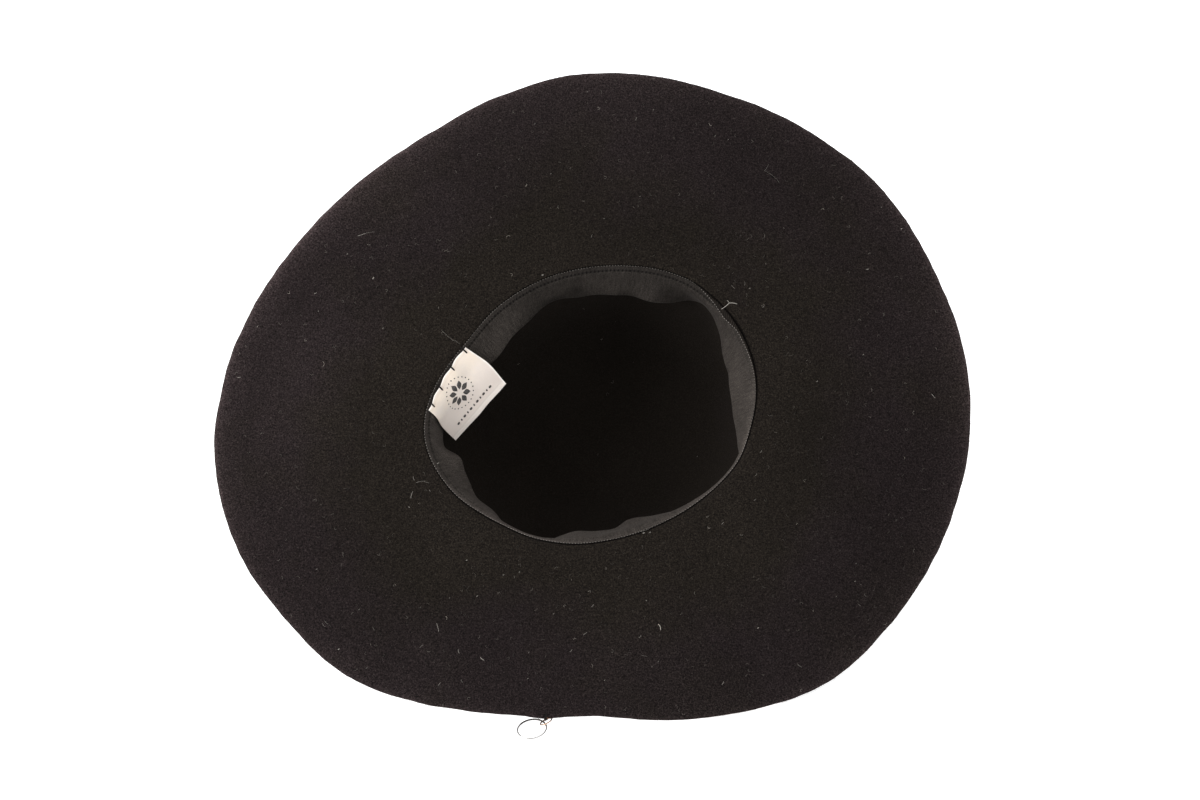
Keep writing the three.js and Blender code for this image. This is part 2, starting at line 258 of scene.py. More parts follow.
# The cut edge of the brim: its reach from the middle of the opening, and its lift above the plane
# of the break before the table bears on it
BRIM_EDGE = np.array(
    [
        (0, 229.7, -4), (15, 228.7, -3), (30, 225.8, -7), (45, 220.6, -4), (58, 219.4, -2),
        (70, 218.9, -6), (85, 214.1, -8.5), (100, 209.5, -9), (118, 210.3, -4), (130, 216.4, -6),
        (150, 231.0, -12), (157, 234.2, -11.5), (165, 237.8, -9), (182, 237.0, -2), (194, 231.3, -5),
        (205, 227.2, -8), (216, 216.8, -10), (228, 205.3, -8), (236, 200.1, -6), (240, 199.5, -6),
        (244, 196.5, -6), (250, 195.8, -6), (262, 204.1, -7), (275, 213.8, -8), (288, 224.7, -9),
        (302, 228.0, -5), (320, 231.2, -8), (335, 233.3, -3), (347, 231.6, 1),
    ],
    dtype=[("heading", float), ("reach", float), ("lift", float)],
)


def smooth_step(first, second, first_slope, second_slope, span, u):
    """From one value to the next over a span, with a slope at each end, as u goes from 0 to 1"""
    return (
        first * (2 * u**3 - 3 * u**2 + 1)
        + span * first_slope * (u**3 - 2 * u**2 + u)
        + second * (3 * u**2 - 2 * u**3)
        + span * second_slope * (u**3 - u**2)
    )


def round_the_hat(table, column):
    """A smooth closed curve through one column of a table whose rows go once round the hat"""
    at = np.concatenate([table["heading"][-2:] - 360, table["heading"], table["heading"][:3] + 360])
    value = np.concatenate([table[column][-2:], table[column], table[column][:3]])
    slope = np.zeros(len(value))
    slope[1:-1] = (value[2:] - value[:-2]) / (at[2:] - at[:-2])

    def curve(heading):
        wrapped = np.mod(heading, 360)
        row = np.searchsorted(at, wrapped, side="right") - 1
        span = at[row + 1] - at[row]
        u = (wrapped - at[row]) / span
        return smooth_step(value[row], value[row + 1], slope[row], slope[row + 1], span, u)

    return curve


rim_at = round_the_hat(HEAD_OVAL, "rim")
swell_at = round_the_hat(HEAD_OVAL, "swell")
reach_at = round_the_hat(BRIM_EDGE, "reach")
free_lift_at = round_the_hat(BRIM_EDGE, "lift")
table_up = hat_turn[2]


def point_at(heading, radius, height):
    angle = np.radians(heading)
    parts = np.broadcast_arrays(radius * np.cos(angle), radius * np.sin(angle), height)
    return np.stack(parts, axis=-1)


def head_radius(heading):
    """Radius of the crown's inner face at the break"""
    angle = np.radians(heading)
    across = np.hypot(HEAD_HALF_WIDTH * np.cos(angle), HEAD_HALF_LENGTH * np.sin(angle))
    return HEAD_HALF_LENGTH * HEAD_HALF_WIDTH / across + rim_at(heading)


def height_over_table(points):
    return OPENING[2] + points @ table_up


def pressed(points, clearance):
    """Points that would go through the table, moved back onto it"""
    short = np.maximum(clearance - height_over_table(points), 0)
    return points + short[..., None] * table_up


def crown_middle(heading, share):
    """Middle of the felt in the crown, from the break at 0 along a squared quarter oval to its top"""
    angle = share * math.pi / 2
    wide = math.cos(angle) / HEAD_HALF_WIDTH
    deep = math.sin(angle) / (CROWN_DEPTH - BREAK_RADIUS)
    length = (wide**CROWN_SQUARENESS + deep**CROWN_SQUARENESS) ** (-1 / CROWN_SQUARENESS)
    reached = deep * length / CROWN_SWELL_DEPTH
    swell = swell_at(heading) * reached * math.exp(1 - reached)
    radius = (head_radius(heading) + FELT / 2 + swell) * wide * length
    depth = BREAK_RADIUS + (CROWN_DEPTH + FELT / 2 - BREAK_RADIUS) * deep * length
    return point_at(heading, radius, -depth)


def break_middle(heading, turned):
    """Middle of the felt round the break, from the brim at 0 degrees to the crown at 90"""
    bend = BREAK_RADIUS - FELT / 2
    radius = head_radius(heading) + BREAK_RADIUS - bend * math.sin(math.radians(turned))
    return point_at(heading, radius, bend * math.cos(math.radians(turned)) - BREAK_RADIUS)


def brim_middle(heading, share):
    """Middle of the felt in the brim, from the break at 0 to the cut edge at 1"""
    reach = reach_at(heading)
    inner = head_radius(heading) + BREAK_RADIUS
    level = height_over_table(point_at(heading, reach, -FELT / 2)) + EDGE_PRESS
    table_lift = FELT / 2 - level / table_up[2]
    lift = np.maximum(free_lift_at(heading), table_lift)
    bow = BRIM_BOW * math.sin(math.pi * share)
    height = lift * share**BRIM_RISE_POWER + bow - FELT / 2
    return point_at(heading, inner + (reach - inner) * share, height)


def ring_normals(rings):
    """Unit normals of a sheet given as rings of points, on the side of the opening and the head"""
    padded = np.concatenate([rings[:1], rings, rings[-1:]])
    across = np.roll(rings, -1, axis=1) - np.roll(rings, 1, axis=1)
    normals = np.cross(padded[:-2] - padded[2:], across)
    return normals / np.linalg.norm(normals, axis=2, keepdims=True)


def waves(points, lengths, seed, count=28):
    """Soft irregular waves through space, with a usual height of 1"""
    random = np.random.default_rng(seed)
    height = np.zeros(points.shape[:-1])
    for _ in range(count):
        way = random.normal(size=3)
        way *= 2 * math.pi / np.linalg.norm(way)
        length = lengths[0] * (lengths[1] / lengths[0]) ** random.random()
        height += np.sin(points @ way / length + random.random() * 2 * math.pi)
    return height / math.sqrt(count / 2)


def skin(rings, poles=None):
    """Points and faces of a closed skin through rings of points. Its two ends run to a pole each,
    or else the last ring joins the first."""
    count, width = rings.shape[:2]
    index = np.arange(count * width).reshape(count, width)
    if poles is None:
        index = np.vstack([index, index[:1]])
    index = np.hstack([index, index[:, :1]])
    corners = [index[:-1, :-1], index[1:, :-1], index[1:, 1:], index[:-1, 1:]]
    faces = np.stack(corners, axis=-1).reshape(-1, 4).tolist()
    points = rings.reshape(-1, 3)
    if poles is not None:
        first, last = len(points), len(points) + 1
        faces += [(first, a, b) for a, b in zip(index[0, :-1].tolist(), index[0, 1:].tolist())]
        faces += [(last, b, a) for a, b in zip(index[-1, :-1].tolist(), index[-1, 1:].tolist())]
        points = np.vstack([points, poles])
    return points, faces


felt_headings = np.arange(FELT_HEADINGS) * 360 / FELT_HEADINGS
brim_shares = np.linspace(1, 0, BRIM_RINGS, endpoint=False)
break_turns = np.linspace(0, 90, BREAK_RINGS + 1)
crown_shares = np.linspace(0, 1, CROWN_RINGS + 2)[1:-1]
felt_middle = np.stack(
    [brim_middle(felt_headings, share) for share in brim_shares]
    + [break_middle(felt_headings, turned) for turned in break_turns]
    + [crown_middle(felt_headings, share) for share in crown_shares]
)

# Ripples fade out at the break, where the ribbon is sewn, and the edge wanders as shears leave it
from_break = np.concatenate([brim_shares, np.zeros(BREAK_RINGS + 1), crown_shares])
fade = np.clip(from_break / RIPPLE_FADE, 0, 1)[:, None]
ripple = RIPPLE_HEIGHT * fade * waves(felt_middle, RIPPLE_LENGTHS, RIPPLE_SEED)
felt_middle = felt_middle + ripple[..., None] * ring_normals(felt_middle)
near_edge = np.concatenate([brim_shares, np.zeros(BREAK_RINGS + 1 + CROWN_RINGS)])
near_edge = near_edge[:, None] ** EDGE_WANDER_POWER
wander = EDGE_WANDER * near_edge * waves(felt_middle[:1], EDGE_WANDER_LENGTHS, EDGE_WANDER_SEED)
felt_middle = felt_middle + wander[..., None] * point_at(felt_headings, 1, 0)

felt_normals = ring_normals(felt_middle)
clearance = np.zeros(len(felt_middle))[:, None]
inner_clearance = clearance + FELT * (np.arange(len(felt_middle)) > BRIM_RINGS)[:, None]
felt_inner = pressed(felt_middle + felt_normals * FELT / 2, inner_clearance)
felt_outer = pressed(felt_middle - felt_normals * FELT / 2, clearance)
outward = felt_middle[0] - felt_middle[1]
outward /= np.linalg.norm(outward, axis=1, keepdims=True)
cut_edge = [
    pressed(
        felt_middle[0]
        + felt_normals[0] * FELT / 2 * math.cos(math.radians(turned)) ** EDGE_SQUARENESS * side
        + outward * EDGE_ROUNDING * math.sin(math.radians(turned)) ** EDGE_SQUARENESS,
        0,
    )
    for turned, side in [(25, 1), (55, 1), (90, 0), (55, -1), (25, -1)]
]
crown_top = np.array([(0, 0, -CROWN_DEPTH), (0, 0, -CROWN_DEPTH - FELT)])
felt_poles = [pressed(crown_top[0], FELT), pressed(crown_top[1], 0)]
felt_rings = np.concatenate([felt_inner[::-1], cut_edge, felt_outer])
felt_points, felt_faces = skin(felt_rings, felt_poles)

# Black wool, purple-grey, and browner where hands and hair have rubbed it round the opening. Its
# curly fibres are matted in all directions, and its cut edge is coloured a paler brown. The
# ribbon's seam runs along the break: turned is how many degrees round it, and shade is the width of
# the painted shadow, a dark line on the felt where the ribbon's edge stands off it.
SEAM = np.array(
    [
        (0, 20, 1.9), (8, 20, 2.2), (14, 20, 1.3), (20, 20, 1.0), (32, 20, 0.9), (50, 20, 0.9),
        (80, 20, 0.9), (110, 20, 0.8), (134, 20, 0.5), (175, 20, 0.5), (197, 20, 1.2), (205, 27, 1.2),
        (213, 46, 1.2), (226, 48, 1.2), (239, 23, 1.2), (252, 20, 1.1), (280, 20, 1.0), (294, 38, 0.9),
        (306, 52, 0.8), (320, 50, 0.9), (332, 28, 1.1), (345, 20, 1.3),
    ],
    dtype=[("heading", float), ("turned", float), ("shade", float)],
)
# Patches of the brim that are paler or darker: share is from the break at 0 to the edge
BRIM_PATCHES = np.array(
    [
        (68, 0.85, 14, 0.32), (152, 0.62, 20, 0.28), (172, 0.9, 16, 0.12), (348, 0.95, 12, 0.16),
        (322, 0.7, 16, -0.08), (52, 0.15, 26, -0.16), (84, 0.35, 18, -0.1), (330, 0.3, 24, -0.14),
        (214, 0.5, 22, -0.1), (20, 0.55, 24, -0.06), (138, 0.3, 14, 0.12), (298, 0.75, 24, -0.12),
        (338, 0.8, 14, -0.08), (108, 0.82, 16, 0.26),
    ],
    dtype=[("heading", float), ("share", float), ("degrees", float), ("paler", float)],
)
# A painted highlight along the brim's cut edge: how far towards the highlight colour it is painted,
# round the hat, and how that fades over a width in millimetres
PAINTED_RIM_HIGHLIGHT = np.array(
    [
        (0, 0.45), (45, 0.3), (70, 0.4), (107, 0.9), (150, 0.65), (190, 0.3), (260, 0.12), (310, 0.3),
        (345, 0.45),
    ],
    dtype=[("heading", float), ("paler", float)],
)
PAINTED_RIM_HIGHLIGHT_WIDTH = 20
PAINTED_RIM_HIGHLIGHT_FADE = [(0.03, 1.0), (0.08, 0.62), (0.14, 0.43), (0.2, 0.29), (0.31, 0.18), (0.5, 0.1), (1.0, 0.0)]
BRIM_PATCH_WIDTH = 0.22
# The crown is more even, and is painted paler as painted light, most on one side of its wall
CROWN_PAINTED_LIGHT = 1.06
CROWN_EVENNESS = 0.7
CROWN_WALL_END = 0.8
CROWN_WALL_FADE = 0.3
CROWN_PAINTED_BOUNCE = {"heading": 165, "paler": 0.32}
FELT_PURPLE = (0.0128, 0.0096, 0.0097)
FELT_OLIVE = (0.0116, 0.0094, 0.0074)
FELT_CUT = (0.045, 0.028, 0.023)
FELT_RIM_HIGHLIGHT = (0.063, 0.0465, 0.047)
FELT_EVEN_TONE = (0.8, 0.8, 0.8, 1)
FELT_RELIEF = 0.22
CLOUDS_PER_METRE = 14
WEAR_PER_METRE = 18
FIBRES_PER_METRE = 1000
FIBRE_PATCHES_PER_METRE = 900
FIBRE_PALENESS = 2.0
GRAINS_PER_METRE = 1250
GRAIN_TONES = [(0.36, 0.04), (0.5, 0.36), (0.66, 1.0)]
GRAIN_CONTRAST = 1.75
SEAM_SHADE_END = 4
RUBBED_AT_BREAK = 1.35
RUBBED_FALL = 2.2
RUBBED_UNDERSIDE = 0.4
RUBBED_BROWNNESS = 0.45
CLOUD_BROWNNESS = 1.2


def stored(tree, name):
    """A number kept on the points of the mesh, read by its name"""
    return add_node(tree, "ShaderNodeAttribute", attribute_name=name).outputs["Fac"]


def store(piece, name, values):
    """Keeps one number for each point of a piece's mesh"""
    numbers = piece.data.attributes.new(name, "FLOAT", "POINT")
    numbers.data.foreach_set("value", np.ravel(values))


felt_material, felt_tree, felt_shader = new_material(
    "black_wool_felt",
    {
        "Roughness": 0.95,
        "Specular IOR Level": 0.04,
        "Sheen Weight": 0.03,
        "Sheen Roughness": 0.6,
        "Sheen Tint": (0.6, 0.5, 0.46, 1),
    },
)


def curly_fibres(tree, place, per_metre, seeds):
    """Thin winding lines, where smooth noise passes its middle value, from several sets of noise"""
    lines = None
    for seed in seeds:
        shifted = add_node(tree, "ShaderNodeVectorMath", {0: place, 1: (seed, 0.7 * seed, 1.3 * seed)})
        swell = noise(tree, shifted.outputs[0], per_metre, detail=1, distortion=0.8)
        off_middle = combine(tree, "ABSOLUTE", combine(tree, "SUBTRACT", swell, 0.5), 0.0)
        line = ramp(tree, off_middle, [(0.0, 1.0), (0.012, 0.8), (0.03, 0.0)])
        lines = line if lines is None else combine(tree, "MAXIMUM", lines, line)
    return lines


felt_place = own_place(felt_tree)
rubbed = stored(felt_tree, "rubbed")
cloud = noise(felt_tree, felt_place, CLOUDS_PER_METRE, detail=4, roughness=0.6)
brownness = combine(
    felt_tree,
    "ADD",
    combine(felt_tree, "MULTIPLY", rubbed, RUBBED_BROWNNESS),
    combine(felt_tree, "MULTIPLY", cloud, CLOUD_BROWNNESS),
)
clouds = ramp(felt_tree, brownness, [(0.55, FELT_PURPLE), (0.95, FELT_OLIVE)])
fibres = curly_fibres(felt_tree, felt_place, FIBRES_PER_METRE, (1.0, 2.0, 3.0))
patchy = noise(felt_tree, felt_place, FIBRE_PATCHES_PER_METRE, detail=2)
patches = ramp(felt_tree, patchy, [(0.42, 0.1), (0.62, 1.0)])
shown_fibres = combine(felt_tree, "MULTIPLY", fibres, patches)
grain = noise(felt_tree, felt_place, GRAINS_PER_METRE, detail=3, roughness=0.7)
wear = noise(felt_tree, felt_place, WEAR_PER_METRE, detail=5, roughness=0.55)
depth_of_tone = combine(
    felt_tree,
    "ADD",
    combine(felt_tree, "MULTIPLY", ramp(felt_tree, grain, GRAIN_TONES), GRAIN_CONTRAST),
    combine(felt_tree, "MULTIPLY", shown_fibres, FIBRE_PALENESS),
)
evenness = stored(felt_tree, "evenness")
evened_tone = mix(felt_tree, evenness, depth_of_tone, FELT_EVEN_TONE)
# Brim patches, and painted light in the crown, kept on the felt's points
patch_and_painted_light = stored(felt_tree, "patch_and_painted_light")
tone_with_painted_light = combine(
    felt_tree,
    "MULTIPLY",
    combine(felt_tree, "MULTIPLY", evened_tone, patch_and_painted_light),
    ramp(felt_tree, wear, [(0.3, 0.82), (0.7, 1.0)]),
)
# The felt is painted dark in a thin line along the seam, as the painted shadow of the ribbon's raised edge
from_seam = stored(felt_tree, "from_seam")
painted_seam_shadow = ramp(felt_tree, from_seam, [(0.0, 0.15), (0.5, 0.2), (1.0, 1.0)])
felt_tone = combine(felt_tree, "MULTIPLY", tone_with_painted_light, painted_seam_shadow)
# A painted highlight along the brim's cut edge, fading inwards
from_edge = stored(felt_tree, "from_edge")
rim_highlight = stored(felt_tree, "rim_highlight")
rim_highlight_fade = ramp(felt_tree, from_edge, PAINTED_RIM_HIGHLIGHT_FADE)
rim_highlight_share = combine(felt_tree, "MULTIPLY", rim_highlight, rim_highlight_fade)
clouds_and_rim_highlight = mix(felt_tree, rim_highlight_share, clouds, (*FELT_RIM_HIGHLIGHT, 1))
cut_side = stored(felt_tree, "cut_side")
cut_share = ramp(felt_tree, cut_side, [(0.75, 0.0), (1.0, 1.0)])
felt_brown = mix(felt_tree, cut_share, clouds_and_rim_highlight, (*FELT_CUT, 1))
felt_colour = mix(felt_tree, 1, felt_brown, felt_tone, "MULTIPLY")
felt_tree.links.new(felt_colour, felt_shader.inputs["Base Color"])
emboss(felt_tree, felt_shader, combine(felt_tree, "ADD", shown_fibres, grain), 0.6, FELT_RELIEF)

seam_turned_at = round_the_hat(SEAM, "turned")
seam_shadow_width_at = round_the_hat(SEAM, "shade")
on_break = np.radians(seam_turned_at(felt_headings) - break_turns[:, None]) * BREAK_RADIUS
brim_width = BRIM_EDGE["reach"].mean() - HEAD_HALF_LENGTH
on_brim = on_break[0] + brim_shares[:, None] * brim_width
in_crown = np.full((CROWN_RINGS, FELT_HEADINGS), brim_width)
seam_distance = np.concatenate([on_brim, on_break, in_crown])
seam_shares = np.clip(seam_distance / seam_shadow_width_at(felt_headings), -1, SEAM_SHADE_END)
outer_shares = np.full((len(cut_edge) + len(felt_outer), FELT_HEADINGS), float(SEAM_SHADE_END))
rubbed_rings = np.clip(RUBBED_AT_BREAK - RUBBED_FALL * brim_shares, 0, 1)
rubbed_rings = np.concatenate([rubbed_rings, np.ones(len(felt_middle) - BRIM_RINGS)])
rubbed_under = RUBBED_UNDERSIDE * rubbed_rings
rubbed_rings = np.concatenate([rubbed_rings[::-1], np.zeros(len(cut_edge)), rubbed_under])
brim_patches = np.ones((BRIM_RINGS, FELT_HEADINGS))
for patch in BRIM_PATCHES:
    round_to = np.abs((felt_headings - patch["heading"] + 180) % 360 - 180) / patch["degrees"]
    out_to = (brim_shares[:, None] - patch["share"]) / BRIM_PATCH_WIDTH
    brim_patches += patch["paler"] * np.exp(-(round_to**2) - out_to**2)
inner_tones = np.vstack([brim_patches, np.ones((len(break_turns), FELT_HEADINGS))])
# Painted light in the crown: paler overall, and paler still on one side of its wall
on_bounce_side = np.clip(np.cos(np.radians(felt_headings - CROWN_PAINTED_BOUNCE["heading"])), 0, 1)
on_wall = np.clip((CROWN_WALL_END - crown_shares) / CROWN_WALL_FADE, 0, 1)[:, None]
crown_painted_light = CROWN_PAINTED_LIGHT * (1 + CROWN_PAINTED_BOUNCE["paler"] * on_bounce_side * on_wall)
inner_tones = np.vstack([inner_tones, crown_painted_light])
felt_tones = np.vstack([inner_tones[::-1], np.ones((len(cut_edge) + len(felt_outer), FELT_HEADINGS))])
even_rings = np.zeros(len(rubbed_rings))
even_rings[:CROWN_RINGS] = CROWN_EVENNESS
cut_rings = np.zeros(len(rubbed_rings))
cut_rings[len(felt_inner):len(felt_inner) + len(cut_edge)] = 1
# Distance in from the cut edge, over which the painted rim highlight fades
edge_distance = np.linalg.norm(felt_middle - felt_middle[0], axis=2) / PAINTED_RIM_HIGHLIGHT_WIDTH
at_edge = np.zeros((len(cut_edge), FELT_HEADINGS))
edge_distance = np.concatenate([edge_distance[::-1], at_edge, edge_distance])
rim_highlight_at = round_the_hat(PAINTED_RIM_HIGHLIGHT, "paler")
felt_body = add_object("felt_body_looks", on_table(felt_points), felt_faces, felt_material)
for name, values in [
    ("from_seam", np.concatenate([seam_shares[::-1].ravel(), outer_shares.ravel()])),
    ("rubbed", np.repeat(rubbed_rings, FELT_HEADINGS)),
    ("evenness", np.repeat(even_rings, FELT_HEADINGS)),
    ("cut_side", np.repeat(cut_rings, FELT_HEADINGS)),
    ("patch_and_painted_light", felt_tones.ravel()),
    ("from_edge", edge_distance.ravel()),
    ("rim_highlight", np.tile(rim_highlight_at(felt_headings), len(felt_rings))),
]:
    store(felt_body, name, np.concatenate([values, values[[0, -1]]]))
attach(felt_body, "root")
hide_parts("felt_body")


# Nap
# Wool fibres that have worked loose of the felt: most are as black as it is, some are paler. Each
# is a curved hair that lies on the surface, with one end or both still caught in it.
NAP_PER_SQUARE_METRE = 24000
NAP_LENGTHS = (0.8, 3.2)
NAP_THICKNESS = 0.022
NAP_SEED = 11
NAP_LEAN = (0.12, 0.16)
NAP_IN_CROWN = 0.04
NAP_ON_CUT_EDGE = 6.0
NAP_UNDERSIDE = 0.8
NAP_AT_CROWN_TOP = 0.5
NAP_SHAPES = [
    ((-0.4, 0, -0.03), (0, 0.6, 0.2), (0.4, 0, -0.03)),
    ((-0.5, 0, -0.05), (0.1, -0.4, 0.06), (0.4, 0.2, 0.2)),
    ((-0.4, 0, -0.04), (0.4, 0.7, 0.15), (0.2, -0.3, 0.08)),
]
NAP_TONES = [
    (0.0, (0.009, 0.0075, 0.0068)), (0.5, (0.022, 0.019, 0.017)), (0.7, (0.06, 0.052, 0.046)),
    (0.9, (0.13, 0.115, 0.1)), (0.97, (0.22, 0.2, 0.175)), (1.0, (0.5, 0.45, 0.39)),
]


def new_tree(name, numbers):
    """An empty Geometry Nodes tree with geometry, named numbers and a material going in"""
    tree = bpy.data.node_groups.new(name, "GeometryNodeTree")
    sockets = tree.interface
    sockets.new_socket("Geometry", in_out="INPUT", socket_type="NodeSocketGeometry")
    for number in numbers:
        sockets.new_socket(number, in_out="INPUT", socket_type="NodeSocketFloat")
    sockets.new_socket("Material", in_out="INPUT", socket_type="NodeSocketMaterial")
    sockets.new_socket("Geometry", in_out="OUTPUT", socket_type="NodeSocketGeometry")
    return tree, tree.nodes.new("NodeGroupInput").outputs


def finish_tree(tree, instances, material):
    """Ends a tree by making its instances real and giving them their material"""
    real = add_node(tree, "GeometryNodeRealizeInstances", {0: instances}).outputs[0]
    inputs = {"Geometry": real, "Material": material}
    finished = add_node(tree, "GeometryNodeSetMaterial", inputs).outputs[0]
    add_node(tree, "NodeGroupOutput", {0: finished})


def run_tree(piece, tree, inputs):
    """Runs a tree on a piece with the named inputs set, and keeps the result as a plain mesh"""
    modifier = piece.modifiers.new(tree.name, "NODES")
    modifier.node_group = tree
    for socket in tree.interface.items_tree:
        if socket.in_out == "INPUT" and socket.name in inputs:
            modifier[socket.identifier] = inputs[socket.name]
    scene_now = bpy.context.evaluated_depsgraph_get()
    result = bpy.data.meshes.new_from_object(
        piece.evaluated_get(scene_now), preserve_all_data_layers=True, depsgraph=scene_now
    )
    piece.modifiers.remove(modifier)
    piece.data = result
    result.shade_smooth()


def random_vector(tree, low, high, seed):
    inputs = {0: low, 1: high, "Seed": seed}
    return add_node(tree, "FunctionNodeRandomValue", inputs, data_type="FLOAT_VECTOR").outputs[0]


def random_number(tree, low, high, seed):
    inputs = {2: low, 3: high, "Seed": seed}
    return add_node(tree, "FunctionNodeRandomValue", inputs, data_type="FLOAT").outputs[1]


def hair(tree, start, middle, end, thickness):
    """One hair of about unit length, with three sides"""
    ends = {"Resolution": 4, "Start": start, "Middle": middle, "End": end}
    line = add_node(tree, "GeometryNodeCurveQuadraticBezier", ends).outputs[0]
    section = {"Resolution": 3, "Radius": thickness}
    circle = add_node(tree, "GeometryNodeCurvePrimitiveCircle", section).outputs[0]
    swept = {"Curve": line, "Profile Curve": circle, "Fill Caps": True}
    solid = add_node(tree, "GeometryNodeCurveToMesh", swept).outputs[0]
    return add_node(tree, "GeometryNodeGeometryToInstance", {0: solid}).outputs[0]


nap_tree, nap_in = new_tree("nap", ["Density", "Shortest", "Longest", "Thickness"])
nap_amount = add_node(
    nap_tree, "GeometryNodeInputNamedAttribute", {"Name": "nap"}, data_type="FLOAT"
).outputs[0]
nap_density = add_node(
    nap_tree, "ShaderNodeMath", {0: nap_in["Density"], 1: nap_amount}, operation="MULTIPLY"
).outputs[0]
nap_spots = add_node(
    nap_tree,
    "GeometryNodeDistributePointsOnFaces",
    {"Mesh": nap_in["Geometry"], "Density": nap_density, "Seed": NAP_SEED},
)
hairs = add_node(nap_tree, "GeometryNodeJoinGeometry")
for start, middle, end in NAP_SHAPES:
    nap_tree.links.new(hair(nap_tree, start, middle, end, nap_in["Thickness"]), hairs.inputs[0])
least_lean = (-NAP_LEAN[0], -NAP_LEAN[1], 0)
leaning = random_vector(nap_tree, least_lean, (*NAP_LEAN, 2 * math.pi), 1)
spun = add_node(nap_tree, "FunctionNodeEulerToRotation", {0: leaning}).outputs[0]
laid = add_node(
    nap_tree,
    "FunctionNodeRotateRotation",
    {"Rotation": nap_spots.outputs["Rotation"], "Rotate By": spun},
    rotation_space="LOCAL",
).outputs[0]
nap_length = random_number(nap_tree, nap_in["Shortest"], nap_in["Longest"], 2)
nap_hairs = add_node(
    nap_tree,
    "GeometryNodeInstanceOnPoints",
    {
        "Points": nap_spots.outputs["Points"],
        "Instance": hairs.outputs[0],
        "Pick Instance": True,
        "Rotation": laid,
        "Scale": nap_length,
    },
).outputs[0]
nap_stored = add_node(
    nap_tree,
    "GeometryNodeStoreNamedAttribute",
    {"Geometry": nap_hairs, "Name": "paleness", "Value": random_number(nap_tree, 0.0, 1.0, 3)},
    data_type="FLOAT",
    domain="INSTANCE",
).outputs[0]
finish_tree(nap_tree, nap_stored, nap_in["Material"])

nap_material, nap_shader_tree, nap_shader = new_material(
    "loose_wool", {"Roughness": 0.8, "Specular IOR Level": 0.3}
)
nap_colour = ramp(nap_shader_tree, stored(nap_shader_tree, "paleness"), NAP_TONES)
nap_shader_tree.links.new(nap_colour, nap_shader.inputs["Base Color"])

# No hair stands under the ribbon, which lies close on the break and just inside it
nap_share = np.concatenate(
    [
        np.clip(brim_shares * 12, 0, 1),
        np.zeros(BREAK_RINGS + 1),
        np.clip(crown_shares * 4 - 1.2, 0, NAP_IN_CROWN),
    ]
)
nap_edge = np.full(len(cut_edge), NAP_ON_CUT_EDGE)
nap_rings = np.concatenate([nap_share[::-1], nap_edge, NAP_UNDERSIDE * nap_share])
nap_values = np.repeat(nap_rings, FELT_HEADINGS)
nap = add_object("nap", on_table(felt_points), felt_faces, nap_material)
store(nap, "nap", np.concatenate([nap_values, [NAP_AT_CROWN_TOP] * 2]))
run_tree(
    nap,
    nap_tree,
    {
        "Density": NAP_PER_SQUARE_METRE,
        "Shortest": NAP_LENGTHS[0] * MM,
        "Longest": NAP_LENGTHS[1] * MM,
        "Thickness": NAP_THICKNESS,
        "Material": nap_material,
    },
)
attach(nap, "root")


# Sweatband
# A black grosgrain ribbon lines the opening. It is sewn to the break along its outer edge only, so
# that the rest of it stands off the crown in soft buckles. Its weft makes ribs across the width,
# and turns back along each edge in small loops.
RIBBON = 0.62
RIBBON_SOLID = 1
RIBBON_GAP = 0.3
RIB_PITCH = 0.9
RIB_DEPTH = 0.07
COLUMNS_PER_RIB = 4
STITCH_INSET = 3
STITCH_PITCH = 2.5
STITCH_LENGTH = 1.6
STITCH_THREAD = 0.36
STITCH_GROOVE = 0.14
LOOP_PITCH = 2 * RIB_PITCH
LOOP_LENGTH = 0.8
LOOP_THREAD = 0.44
LOOP_INSET = 0.05
SWAY = 0.45
SWAY_LENGTHS = (14, 45)
SWAY_SEED = 8
GROOVE_HALF_WIDTH = 0.55
EDGE_THINNESS = 0.6
STITCH_SINK = 0.3
LIFT_OFF_RIBBON = 0.05
HATCH_PITCH = 1.8
HATCH_SLANT = 0.9
PAINTED_PUCKER_SHADE = 0.88
RIBBON_BLACK = (0.115, 0.099, 0.088, 1)
RIBBON_RELIEF = 0.14
RIBBON_ROWS = (0, 0.35, 0.9, 1.7, 2.4, 3.0, 3.6, 4.3, 6, 9, 12.5, 16.5, 20.5, 24.5, 27.4, 28)

# Its buckles: lean is how far the free part stands in from the crown's side
BAND_LEAN = np.array(
    [
        (0, 27.3), (9.5, 10), (20, -10), (29, -4), (35, 20), (42.5, 28.5), (52, 19.5), (59, 19.5),
        (68, 18), (80, 13), (91, 12.5), (103, 20.5), (118, 30.5), (132, 31), (150, 20), (170, 15),
        (178, 38), (184, 32), (194, 18), (204, 12), (212, 3), (226, 2), (234, 17), (242, 25),
        (257, 20.5), (265, 27), (277, 19), (288, 9.5), (297, 2), (318, -3), (326, 11), (333, 18.5),
        (343.5, 30.5), (354, 27),
    ],
    dtype=[("heading", float), ("lean", float)],
)
